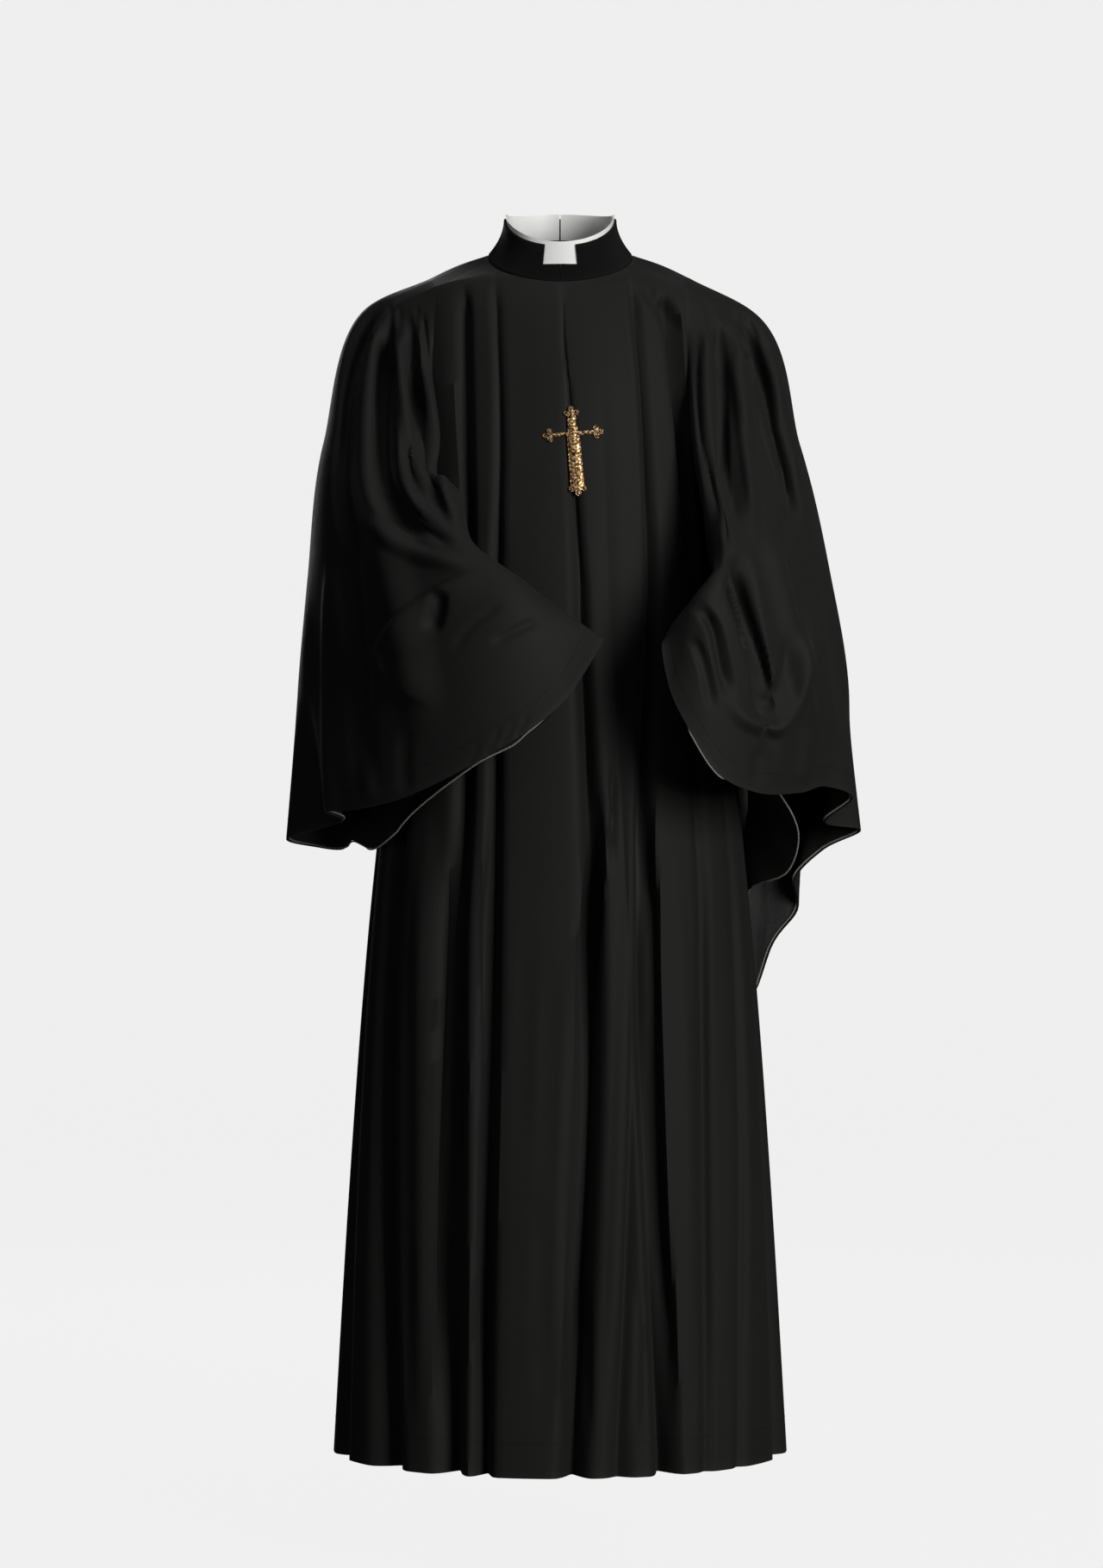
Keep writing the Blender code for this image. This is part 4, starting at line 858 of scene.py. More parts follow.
# %% Columns and rows of the body pieces
ACROSS = 0.5 - 0.5 * np.cos(np.pi * np.arange(18) / 18)
UPPER_ROWS = np.concatenate([np.linspace(0.0, 0.08, 9)[:-1], np.linspace(0.08, 1.0, 63)[:-1]])
LOWER_ROWS = np.linspace(BELLY_Z, HEM_Z, 84)
CORNERS_ROUND = (ARM_CORNER, BACK_CORNER, 2 * math.pi - BACK_CORNER, 2 * math.pi - ARM_CORNER)
CORNER_CLEAR = 0.02  # columns nearer than this share to a corner give way to it
HAIR = 1e-9
EDGE_POINTS = 161


def edge_run(u0, u1):
    """The cut top edge between two angles: angles, heights and the length run."""
    u = np.linspace(u0, u1, EDGE_POINTS)
    z = top_edge(u)
    a, front, back = oval(z)
    deep = np.where(np.cos(u) > 0, front, back)
    return u, z, run_of(np.stack([a * np.sin(u), -deep * np.cos(u), z], axis=-1))


def valley_pair(index):
    """A valley, the next one, and 360 degrees more where the count starts again."""
    here = FLUTES[index]
    there = FLUTES[(index + 1) % len(FLUTES)]
    return here, there, 360.0 if index + 1 == len(FLUTES) else 0.0


def shares_after(index):
    """Shares of the way to the next valley, one of them on a corner of an armhole."""
    here, there, turn = valley_pair(index)
    u, _, run = edge_run(math.radians(here[0]), math.radians(there[0] + turn))
    found = list(ACROSS)
    for corner in CORNERS_ROUND:
        if u[0] < corner < u[-1]:
            at = float(np.interp(corner, u, run)) / run[-1]
            found = [s for s in found if s == 0 or abs(s - at) > CORNER_CLEAR] + [at]
    return sorted(found)


def columns_between(first, last, skip_from=0.0, stop_at=0.0):
    """Columns as (valley, share), from a share after the first valley to one after the last."""
    found = []
    for index in range(first, last + (1 if stop_at else 0)):
        for share in shares_after(index):
            before = index == first and share < skip_from - HAIR
            if not before and not (index == last and share > stop_at + HAIR):
                found.append((index, share))
    return found if stop_at else found + [(last - 1, 1.0)]


print(len(UPPER_ROWS) + len(LOWER_ROWS), "rows from neck to hem")

# %% The neck seam and a piece's points
YOKE_HALF = 0.197


def neck(phi):
    """The neck seam, by the angle round the neck from the front."""
    x = NECK_HALF * math.sin(phi)
    c = math.cos(phi)
    if c >= 0:
        z = NECK_FRONT_Z + (NECK_SIDE_Z - NECK_FRONT_Z) * (1 - c)
        a, front, _ = (float(v) for v in oval(z))
        return np.array([x, -front * math.sqrt(1 - (x / a) ** 2), z])
    return np.array([x, NECK_BACK_Y * -c, NECK_SIDE_Z + (NECK_BACK_Z - NECK_SIDE_Z) * c * c])


def between(index, share, z):
    """The angle at a share of the way from one valley to the next, at each height."""
    here, there, turn = valley_pair(index)
    low, high = valley_angle(here, z), valley_angle(there, z) + turn
    return np.radians(low + (high - low) * share)


def piece_points(columns, neck_top):
    """Angles and heights of a piece's points, rows by columns."""
    us, zs = [], []
    for index, share in columns:
        here, there, turn = valley_pair(index)
        if neck_top:
            top_u = math.radians(here[0] + (there[0] + turn - here[0]) * share)
            x = YOKE_HALF * math.sin(top_u)
            top_z = float(neck(math.asin(max(-1.0, min(1.0, x / NECK_HALF))))[2])
            z = top_z + (BELLY_Z - top_z) * UPPER_ROWS
            upper = between(index, share, z)
        else:
            u, height, run = edge_run(math.radians(here[0]), math.radians(there[0] + turn))
            top_u = float(np.interp(share * run[-1], run, u))
            top_z = float(np.interp(share * run[-1], run, height))
            belly = here[1] + (there[1] + turn - here[1]) * share
            bow = here[4] * (1 - share) + there[4] * share
            t = UPPER_ROWS
            z = top_z + (BELLY_Z - top_z) * t
            upper = np.radians(math.degrees(top_u) * (1 - t) + belly * t + 4 * t * (1 - t) * bow)
        us.append(np.concatenate([upper, between(index, share, LOWER_ROWS)]))
        zs.append(np.concatenate([z, LOWER_ROWS]))
    return np.array(us).T, np.array(zs).T


print("neck seam from", neck(0).round(3), "to", neck(math.pi).round(3))

# %% Hang the body pieces
TURN_STEP, RISE_STEP = 0.012, 0.005  # steps to the neighbours that give a normal
LEAST_LEAN = 0.6  # a wall in a sharp valley gets no thicker than this allows
CREASE_START = 0.02  # the creases are at full height this far below the top edge


def hang(columns, neck_top=False):
    """The outer and inner grids of one piece of the body, with its creases."""
    u, z = piece_points(columns, neck_top)
    here = body(u, z)
    left, right = here - body(u - TURN_STEP, z), body(u + TURN_STEP, z) - here
    up = body(u, z + RISE_STEP) - body(u, z - RISE_STEP)
    normal = unit(np.cross(left + right, up))
    lean = np.minimum(np.sum(normal * unit(np.cross(left, up)), axis=-1),
                      np.sum(normal * unit(np.cross(right, up)), axis=-1))
    inner = here - normal * (CLOTH / np.clip(lean, LEAST_LEAN, 1.0))[..., None]
    move = creased(here, normal, BODY_CREASES)
    move += creased(here, normal, BACK_CREASES, from_back=True)
    move = (move * ease((top_edge(u) - z) / CREASE_START))[..., None] * normal
    return {"outer": here + move, "inner": inner + move, "top": u[0]}


BODY_PIECES = {
    "front_left": hang(columns_between(0, 2), neck_top=True),
    "front_right": hang(columns_between(21, 22), neck_top=True),
    "side_front_left": hang(columns_between(2, 5, stop_at=0.5)),
    "side_front_right": hang(columns_between(17, 21, skip_from=0.5)),
    "back": hang(columns_between(5, 17, skip_from=0.5, stop_at=0.5)),
}
print("hung:", ", ".join(BODY_PIECES))

# %% Make the body pieces
for name, found in BODY_PIECES.items():
    obj = cloth_wall(name + "_cloth", found["outer"], found["inner"], "robe_cloth",
                     pressed_edges=ALL_EDGES)
    declare(obj, [name], found["outer"])

# %% [markdown]
# ## The yoke
# The yoke is one flat piece that lies over both shoulders. It spans from the neck seam to
# the seams of the fronts and the back and to the armholes, so it is stretched between
# those edges, with a slight rise where the back of the neck would hold it.

# %% The yoke's outline
SHOULDER_END = np.array([
    # x, y, z over the left shoulder, from the front seam to the back seam
    (0.1515, -0.036, -0.0205), (0.1560, -0.012, -0.0160), (0.1580, 0.008, -0.0170),
    (0.1600, 0.032, -0.0300), (0.1590, 0.052, -0.0560),
])
SHOULDER_STEPS = 16
SEWN_TO_YOKE = [BODY_PIECES[name] for name in ("side_front_left", "side_front_right", "back")]


def corner_of(found, corner):
    """The column of a body piece whose top lies on a corner of an armhole."""
    return int(np.abs(found["top"] - corner).argmin())


FRONT_CORNERS = (corner_of(SEWN_TO_YOKE[0], ARM_CORNER),
                 corner_of(SEWN_TO_YOKE[1], 2 * math.pi - ARM_CORNER))
BACK_CORNERS = (corner_of(SEWN_TO_YOKE[2], BACK_CORNER),
                corner_of(SEWN_TO_YOKE[2], 2 * math.pi - BACK_CORNER))


def yoke_parts(layer, end):
    """The yoke's outer edge in five parts, from the left front round to the right front."""
    left, right, back = (piece[layer][0] for piece in SEWN_TO_YOKE)
    return (left[:FRONT_CORNERS[0] + 1], end, back[BACK_CORNERS[0]:BACK_CORNERS[1] + 1],
            end[::-1] * np.array([-1.0, 1.0, 1.0]), right[FRONT_CORNERS[1]:])


print("yoke corners at columns", FRONT_CORNERS, BACK_CORNERS)

# %% Make the yoke
YOKE_LINES = 26
NECK_ANGLES = (80, 95, 128, 180, 232, 265, 280)  # where the outline's stations meet the neck
NECK_RISE = 0.006
RISE_FROM, RISE_TO, RISE_OVER = 1.4835, 4.7997, 0.3  # radians round the neck


def yoke_grids():
    end = through(np.linspace(0, 1, 5), SHOULDER_END, np.linspace(0, 1, SHOULDER_STEPS + 1))
    parts = yoke_parts("outer", end)
    outline, known = np.concatenate(parts), np.concatenate(yoke_parts("inner", end * np.nan))
    starts = np.cumsum([0] + [len(p) for p in parts])
    run = run_of(outline)
    half = SHOULDER_STEPS // 2
    stations = [0, starts[1] - 1, starts[1] + half, starts[2], (starts[2] + starts[3]) // 2,
                starts[3] - 1, starts[3] + half, starts[4], starts[5] - 1]
    left_phi = math.degrees(math.asin(min(1, outline[0, 0] / NECK_HALF)))
    right_phi = math.degrees(math.asin(min(1, -outline[-1, 0] / NECK_HALF)))
    angles = [left_phi, *NECK_ANGLES, 360 - right_phi]
    phi = np.radians(through(run[stations], angles, run))
    inside = np.array([neck(p if p <= math.pi else p - 2 * math.pi) for p in phi])
    shares = np.linspace(0, 1, YOKE_LINES)
    grid = inside[None] + (outline - inside)[None] * shares[:, None, None]

    def upwards():
        normals = grid_normals(grid)
        return normals * np.sign(normals[2, len(phi) // 2, 1])

    rise = NECK_RISE * np.sin(np.pi * shares)[:, None] \
        * ease((phi - RISE_FROM) / RISE_OVER)[None] * ease((RISE_TO - phi) / RISE_OVER)[None]
    grid = grid + upwards() * rise[..., None]
    inner = grid - upwards() * CLOTH
    fixed = ~np.isnan(known[:, 0])
    inner[-1, fixed] = known[fixed]
    return grid, inner, starts


YOKE, YOKE_INNER, YOKE_STARTS = yoke_grids()
yoke = cloth_wall("yoke_cloth", YOKE, YOKE_INNER, "robe_cloth")
declare(yoke, ["yoke"], YOKE)

# %% [markdown]
# ## Bell sleeves
# A bell sleeve starts as a ring on the armhole, passes through four shaped sections and
# ends at a wide hem. Smooth lines through those rings give its form, long folds follow
# the cloth from the gathered head, and listed creases finish it. The columns crowd
# to the shoulder, where the head is gathered.

# %% Tables of the sleeves
RIGHT_SLEEVE = (
    # share of the length, inner xyz, front xyz, outer xyz, back xyz
    (0.08, (-0.166, -0.073, -0.286), (-0.150, -0.112, -0.175),
     (-0.226, 0.004, -0.044), (-0.186, 0.106, -0.160)),
    (0.28, (-0.118, -0.139, -0.286), (-0.210, -0.146, -0.248),
     (-0.284, 0.008, -0.215), (-0.226, 0.096, -0.330)),
    (0.50, (-0.099, -0.188, -0.352), (-0.214, -0.178, -0.345),
     (-0.303, 0.016, -0.370), (-0.244, 0.086, -0.450)),
    (0.75, (-0.030, -0.213, -0.402), (-0.170, -0.226, -0.490),
     (-0.315, 0.018, -0.525), (-0.222, 0.000, -0.575)),
)
LEFT_SLEEVE = (
    (0.08, (0.180, -0.060, -0.295), (0.156, -0.110, -0.165),
     (0.230, 0.004, -0.052), (0.186, 0.106, -0.160)),
    (0.28, (0.170, -0.116, -0.335), (0.196, -0.142, -0.240),
     (0.288, 0.008, -0.215), (0.226, 0.100, -0.330)),
    (0.50, (0.176, -0.168, -0.385), (0.226, -0.190, -0.330),
     (0.322, 0.016, -0.360), (0.240, 0.100, -0.450)),
    (0.75, (0.143, -0.208, -0.420), (0.240, -0.212, -0.480),
     (0.345, 0.018, -0.535), (0.214, 0.088, -0.600)),
)
print(len(LEFT_SLEEVE), "shaped sections on each sleeve")

# %% Tables of the hems
RIGHT_HEM = (
    # share of the turn, x, y, z
    (0.00, 0.046, -0.235, -0.457), (0.08, 0.007, -0.255, -0.521),
    (0.20, -0.088, -0.255, -0.589), (0.30, -0.184, -0.205, -0.635),
    (0.38, -0.250, -0.140, -0.649), (0.42, -0.276, -0.100, -0.651),
    (0.455, -0.258, -0.050, -0.662), (0.50, -0.327, 0.020, -0.682),
    (0.56, -0.292, 0.056, -0.695), (0.60, -0.262, 0.045, -0.697),
    (0.64, -0.248, 0.012, -0.685), (0.68, -0.226, -0.024, -0.693),
    (0.73, -0.207, -0.067, -0.690), (0.79, -0.172, -0.124, -0.652),
    (0.87, -0.100, -0.180, -0.597), (0.95, -0.010, -0.200, -0.539),
)
LEFT_HEM = (
    (0.00, 0.117, -0.235, -0.457), (0.06, 0.123, -0.257, -0.511),
    (0.12, 0.148, -0.262, -0.562), (0.18, 0.180, -0.250, -0.608),
    (0.24, 0.225, -0.215, -0.628), (0.31, 0.278, -0.150, -0.628),
    (0.37, 0.311, -0.110, -0.621), (0.42, 0.345, -0.065, -0.636),
    (0.46, 0.316, -0.024, -0.664), (0.50, 0.361, 0.016, -0.673),
    (0.55, 0.318, 0.050, -0.698), (0.59, 0.286, 0.062, -0.732),
    (0.63, 0.290, 0.084, -0.771), (0.67, 0.260, 0.102, -0.815),
    (0.70, 0.236, 0.108, -0.876), (0.735, 0.212, 0.092, -0.810),
    (0.765, 0.222, 0.050, -0.750), (0.80, 0.270, -0.002, -0.722),
    (0.83, 0.281, -0.035, -0.680), (0.87, 0.252, -0.090, -0.625),
    (0.91, 0.205, -0.150, -0.585), (0.95, 0.152, -0.200, -0.520),
)
print("hem points:", len(RIGHT_HEM), "right,", len(LEFT_HEM), "left")

# %% Long folds and the gathers of the head
BACK_FOLDS = (
    # start and end along, first and last round, depth and half width (mm)
    (0.04, 0.62, 0.640, 0.640, -16, 28), (0.04, 0.58, 0.735, 0.745, -13, 30),
    (0.03, 0.50, 0.825, 0.845, -8, 28),
)
RIGHT_FOLDS = (
    (0.03, 0.56, 0.375, 0.285, -17, 26), (0.03, 0.58, 0.285, 0.165, -18, 28),
    (0.02, 0.50, 0.215, 0.095, -12, 26), (0.42, 0.98, 0.300, 0.345, -13, 36),
    (0.40, 0.92, 0.225, 0.255, 11, 42), *BACK_FOLDS, (0.30, 0.98, 0.560, 0.585, -13, 34),
)
LEFT_FOLDS = (
    (0.03, 0.52, 0.320, 0.365, -17, 26), (0.02, 0.56, 0.255, 0.200, -17, 27),
    (0.02, 0.46, 0.185, 0.105, -9, 26), (0.52, 0.96, 0.180, 0.265, -20, 26),
    (0.46, 0.90, 0.265, 0.330, 10, 34), *BACK_FOLDS, (0.30, 0.90, 0.545, 0.560, -13, 32),
)
HEAD_FAN, BACK_FAN = 2.0, 1.8  # how strongly the columns crowd to the shoulder
HEAD_LIFT = (0.11, 0.03, 0.0, 0.0)  # how far each section follows them
# More columns round the front than the back, and more rows at the gathered head.
SLEEVE_TURNS = np.concatenate([np.linspace(0, 0.5, 160, endpoint=False),
                               np.linspace(0.5, 1, 84, endpoint=False)])
SLEEVE_LINES = np.concatenate([np.linspace(0, 0.08, 22)[:-1], np.linspace(0.08, 1.0, 172)])
print(len(SLEEVE_TURNS), "columns round a sleeve,", len(SLEEVE_LINES), "rows down it")


# %% Rings of a sleeve
def armhole(points, inner, shoulder):
    """The outer and inner edge of an armhole, from the underarm round the front."""
    closed, closed_inner = (np.concatenate([line, line[:1]]) for line in (points, inner))
    run = run_of(closed)
    top, whole = run[shoulder], run[-1]
    turn = SLEEVE_TURNS
    front = top * (2 * np.minimum(turn, 0.5)) ** (1 / HEAD_FAN)
    back = whole - (whole - top) * (2 * (1 - np.maximum(turn, 0.5))) ** (1 / BACK_FAN)
    at = np.where(turn <= 0.5, front, back)
    return [np.stack([np.interp(at, run, line[:, k]) for k in range(3)], 1)
            for line in (closed, closed_inner)]


def armhole_edges():
    """The edges of the left and the right armhole."""
    (lc, rc), (bl, br), s = FRONT_CORNERS, BACK_CORNERS, YOKE_STARTS
    loops = []
    for layer, yoke in (("outer", YOKE[-1]), ("inner", YOKE_INNER[-1])):
        left, right, back = (piece[layer][0] for piece in SEWN_TO_YOKE)
        loops.append(np.concatenate([left[::-1][:-lc - 1], yoke[s[1] - 1:s[2] + 1],
                                     back[1:bl][::-1]]))
        loops.append(np.concatenate([right[:rc], yoke[s[3] - 1:s[4] + 1][::-1],
                                     back[br + 1:-1]]))
    half = SHOULDER_STEPS // 2
    left_shoulder = len(SEWN_TO_YOKE[0]["top"]) - lc + half
    return (armhole(loops[0], loops[2], left_shoulder),
            armhole(loops[1], loops[3], rc + half + 1))


def sleeve_ring(row, turn):
    inner, front, outer, back = (np.array(p) for p in row[1:])
    middle = (inner + front + outer + back) / 4
    angle = 2 * math.pi * turn[:, None]
    return (middle + (inner - outer) / 2 * np.cos(angle) + (front - back) / 2 * np.sin(angle)
            + (inner - front + outer - back) / 4 * np.cos(2 * angle))


def hem_ring(rows, turn):
    table = np.array(rows)
    table = np.concatenate([table[-2:] - [1, 0, 0, 0], table, table[:3] + [1, 0, 0, 0]])
    return through(table[:, 0], table[:, 1:], turn)


print("hem ring starts at", hem_ring(LEFT_HEM, np.zeros(1))[0].round(3))


# %% Folds of a sleeve, clear of the body
SLEEVE_CLEARANCE = 0.0105
OVER_EDGE, OVER_EDGE_FADE = 0.130, 0.060  # above the top edge the body lets go
FOLD_IN, FOLD_OUT = 0.25, 0.35  # shares of a fold's length


def fold_relief(rows, turn, grid, folds):
    """How far the long folds move each point of a sleeve outwards."""
    run = run_along(joined(grid), 1)
    closed = np.append(turn, 1.0)
    move = np.zeros(grid.shape[:2])
    for start, end, first, last, deep, wide in folds:
        share = np.clip((rows - start) / (end - start), 0, 1)
        ends = ease(share / FOLD_IN) * ease((1 - share) / FOLD_OUT)
        for i in np.flatnonzero(ends):
            line = first + (last - first) * share[i]
            far = np.abs(run[i, :-1] - np.interp(line, closed, run[i]))
            far = np.minimum(far, run[i, -1] - far)
            move[i] += deep / 1000 * bump(far, wide / 1000) * ends[i]
    return move


def clear_of_body(grid, margin):
    """Moves points out until they lie a margin outside the body, where it has any cloth."""
    a, front, back = oval(grid[..., 2])
    deep = np.where(grid[..., 1] < 0, front, back)
    q = np.sqrt((grid[..., 0] / (a + margin)) ** 2 + (grid[..., 1] / (deep + margin)) ** 2)
    turn = np.arctan2(grid[..., 0] / a, -grid[..., 1] / np.maximum(deep, LEAST_DEPTH))
    beside = ease((top_edge(turn) + OVER_EDGE - grid[..., 2]) / OVER_EDGE_FADE)
    moved = grid.copy()
    moved[..., :2] /= (1 + (np.minimum(q, 1.0) - 1) * beside)[..., None]
    return moved


print("sleeves stay", 1000 * SLEEVE_CLEARANCE, "mm off the body")


# %% Make the sleeves
SEAM_GAP = 0.0002
CLEAR_BY, FOLDS_BY, CREASES_BY = 0.09, 0.06, 0.03  # shares of the length from the seam


def sleeve_grids(edge, sections, hem, folds, creases, side):
    """A sleeve from armhole to hem: side is 1 on the left and -1 on the right."""
    (seam_outer, seam_inner), turn, rows = edge, SLEEVE_TURNS, SLEEVE_LINES

    def outwards():
        return grid_normals(grid, True) * -side

    stations = [0.0] + [row[0] for row in sections] + [1.0]
    rings = [seam_outer]
    for row, lift in zip(sections, HEAD_LIFT):
        rings.append(sleeve_ring(row, turn + lift * np.sin(2 * np.pi * turn)))
    rings.append(hem_ring(hem, turn))
    grid = through(stations, np.array(rings), rows)
    margin = SLEEVE_CLEARANCE * ease(rows / CLEAR_BY)[:, None]
    grid[1:] = clear_of_body(grid, margin)[1:]
    relief = fold_relief(rows, turn, grid, folds) * ease(rows / FOLDS_BY)[:, None]
    grid = grid + outwards() * relief[..., None]
    normals = outwards()
    move = creased(grid, normals, creases) + creased(grid, normals, BACK_CREASES, from_back=True)
    grid = grid + normals * (move * ease(rows / CREASES_BY)[:, None])[..., None]
    grid[1:] = clear_of_body(grid, margin)[1:]
    grid[0] = seam_outer + unit(seam_outer - seam_inner) * SEAM_GAP
    return grid, grid - outwards() * CLOTH


LEFT_EDGE, RIGHT_EDGE = armhole_edges()
SLEEVES = {
    "left": sleeve_grids(LEFT_EDGE, LEFT_SLEEVE, LEFT_HEM, LEFT_FOLDS, LEFT_SLEEVE_CREASES, 1),
    "right": sleeve_grids(RIGHT_EDGE, RIGHT_SLEEVE, RIGHT_HEM, RIGHT_FOLDS,
                          RIGHT_SLEEVE_CREASES, -1),
}
for side, (grid, inner) in SLEEVES.items():
    sleeve = cloth_wall(f"sleeve_{side}_cloth", grid, inner, "robe_cloth", wrap=True)
    declare(sleeve, [f"sleeve_{side}"], grid, wrap=True)

# %% [markdown]
# ## The satin facing
# The hanging corner of the left sleeve turns its inside to the front, and shows the satin
# band that faces the hem. It is made from the sleeve's own inner points, moved in by a
# hair, so that it lies on the cloth everywhere.

# %% Make the facing inside the left sleeve
FACING_TURN, FACING_FROM = (0.61, 0.82), 0.80  # shares of the turn, share of the length
FACING_GAP, FACING_WALL = 0.0004, 0.0010


def facing():
    grid, inner = SLEEVES["left"]
    first, last = np.searchsorted(SLEEVE_TURNS, FACING_TURN)
    rows = SLEEVE_LINES >= FACING_FROM
    normals = unit(grid - inner)[rows, first:last]
    outer = inner[rows, first:last] - normals * FACING_GAP
    outer, normals = outer[:-1, 1:-1], normals[:-1, 1:-1]
    return outer, outer - normals * FACING_WALL


FACING, FACING_INNER = facing()
obj = cloth_wall("sleeve_facing_satin", FACING, FACING_INNER, "facing_satin",
                 pressed_edges=ALL_EDGES)
declare(obj, ["sleeve_facing_left"], FACING)

# %% [markdown]
# ## Collar band and its white insert
# The standing band leans in from the neck seam, with a square notch cut at the centre
# front. A white band sits inside it, shows in the notch and stands a few millimetres
# above the top edge. Both are lofted from the same curve round the neck.

# %% The collar's form
COLLAR_TOP_HALF, COLLAR_TOP_FRONT_Y, COLLAR_TOP_BACK_Y = 0.067, 0.078, 0.060
COLLAR_TOP_FRONT_Z, COLLAR_TOP_SIDE_Z, COLLAR_TOP_BACK_Z = 0.0150, 0.058, 0.066
COLLAR_FLARE = 0.020
NOTCH_HALF, NOTCH_BOTTOM_Z, NOTCH_REACH = 0.0205, -0.0075, 0.0765
NOTCH_EDGE = math.asin(NOTCH_HALF / NOTCH_REACH)  # the notch's corner, round the neck
FRONT_GAP, NOTCH_STEP = 0.0019, 0.006  # radians: half the seam at the front, and the
# step from the notch to the full height
COLLAR_TURNS = [*np.linspace(FRONT_GAP, NOTCH_EDGE, 22),
                *np.linspace(NOTCH_EDGE + NOTCH_STEP, math.pi, 110)]


def collar_point(phi, share, inset):
    """The band's surface: share 0 is the neck seam and 1 the top edge."""
    low = neck(phi)
    c = math.cos(phi)
    x = COLLAR_TOP_HALF * math.sin(phi)
    if c >= 0:
        y = -COLLAR_TOP_FRONT_Y * c
        z = COLLAR_TOP_FRONT_Z + (COLLAR_TOP_SIDE_Z - COLLAR_TOP_FRONT_Z) * (1 - c)
    else:
        y = -COLLAR_TOP_BACK_Y * c
        z = COLLAR_TOP_SIDE_Z + (COLLAR_TOP_BACK_Z - COLLAR_TOP_SIDE_Z) * c * c
    point = low + (np.array([x, y, z]) - low) * share
    flare = COLLAR_FLARE * share * (1 - share) * math.sin(phi) ** 2
    point[:2] -= unit(point[:2].copy()) * (flare + inset)
    return point


def band_grids(rows, turns, points_at):
    """Outer and inner grids of a band; points_at gives both points at a turn and a row."""
    grid = np.array([[points_at(turn, row) for turn in turns] for row in rows])
    return grid[:, :, 0], grid[:, :, 1]


print("notch", 2 * NOTCH_HALF, "m wide, its corners at", round(NOTCH_EDGE, 3), "radians")

# %% Make the collar band
COLLAR_WALL = 0.0022
COLLAR_GAP = 0.0003  # above the neck seam, and between band and insert
COLLAR_PROUD = 0.0004
PAD_HIGH, PAD_EDGE = 0.0007, 0.0025  # the padding's height, and the edge that it rounds
SLOT_DROP, SLOT_HIGH, SLOT_DEEP, SLOT_FADE = 0.0048, 0.0007, 0.0010, 0.02


def collar_points(turn, row):
    """The padded band, with a pressed line under the notch."""
    floor, ceiling = (collar_point(turn, share, 0.0)[2] for share in (0.0, 1.0))
    high = NOTCH_BOTTOM_Z if abs(turn) <= NOTCH_EDGE + HAIR else ceiling
    low = floor + COLLAR_GAP
    z = low + (high - low) * row
    share = (z - floor) / (ceiling - floor)
    pad = PAD_HIGH * ease(min(z - low, high - z) / PAD_EDGE)
    slot = math.exp(-((NOTCH_BOTTOM_Z - SLOT_DROP - z) / SLOT_HIGH) ** 2)
    slot *= float(ease((NOTCH_EDGE + SLOT_FADE - abs(turn)) / SLOT_FADE)) * SLOT_DEEP
    return (collar_point(turn, share, slot - pad + COLLAR_PROUD),
            collar_point(turn, share, COLLAR_WALL))


COLLAR_ROWS = 0.5 - 0.5 * np.cos(np.pi * np.linspace(0, 1, 30))  # closer at both edges
COLLAR, COLLAR_INNER = band_grids(
    COLLAR_ROWS, COLLAR_TURNS + [-turn for turn in COLLAR_TURNS[::-1][1:]],
    collar_points)
obj = cloth_wall("collar_band_cloth", COLLAR, COLLAR_INNER, "collar_cloth")
declare(obj, ["collar_band"], COLLAR)

# %% Make the white insert
INSERT_WALL, INSERT_RISE = 0.0012, 0.005
INSERT_ROWS = np.linspace(0.3, 1.0, 24)  # from behind the band to the top
INSERT_END = 0.012  # radians left open at the back of the neck
INSERT_INSET = COLLAR_WALL + COLLAR_GAP
INSERT_TURNS = COLLAR_TURNS[:-1] + [COLLAR_TURNS[-1] - INSERT_END]


def insert_points(turn, row):
    tall = collar_point(turn, 1.0, 0.0)[2] - collar_point(turn, 0.0, 0.0)[2]
    share = row * (1 + INSERT_RISE / tall)
    return (collar_point(turn, share, INSERT_INSET),
            collar_point(turn, share, INSERT_INSET + INSERT_WALL))


INSERT, INSERT_INNER = band_grids(
    INSERT_ROWS, [-turn for turn in INSERT_TURNS[::-1]] + INSERT_TURNS, insert_points)
obj = cloth_wall("collar_insert_band", INSERT, INSERT_INNER, "insert_white")
declare(obj, ["collar_insert"])

# %% [markdown]
# ## The cross
# The chest cross is worked in metal thread over padding: a round crown at the crossing,
# thin side arms, a broad foot with a raised rib, and three buds at each end, each bud
# ringed with a twisted purl. Domes, ribs and rings are joined into one mesh.

# %% Sizes of the cross
CROSS_X, CROSS_Z, CROSS_LEAN = 0.0145, -0.2125, math.radians(4.9)
CROSS_ARMS = (
    # turn in degrees, length to the tip, width at the crossing and at the buds,
    # radius of a bud, how far the side buds and the end bud stand out
    (0.0, 0.0320, 0.0110, 0.0076, 0.0031, 0.0056, 0.0046),
    (-90.0, 0.0350, 0.0034, 0.0028, 0.0031, 0.0046, 0.0050),
    (90.0, 0.0350, 0.0034, 0.0028, 0.0031, 0.0046, 0.0050),
    (180.0, 0.0725, 0.0134, 0.0150, 0.0035, 0.0068, 0.0050),
)
GOLD_GAP = 0.0004  # between the cloth and the cross
ARM_LINES, ARM_OVERLAP, ARM_BASE, ARM_HIGH = 30, 0.002, 0.0002, 0.0017
KNOT_HIGH, KNOT_TURN = 0.10, 1150  # share of the arm's height, radians a metre
PURL, PURL_HIGH, PURL_STEP = 0.0006, 0.0006, 0.0005  # radius, height, length of a step
BUD_DOMES, BUD_RING, BUD_RING_HIGH = ((0.9, 0.0006), (0.45, 0.0024)), 0.84, 0.0010
HEART, HEART_HIGH = 0.0021, 0.0026
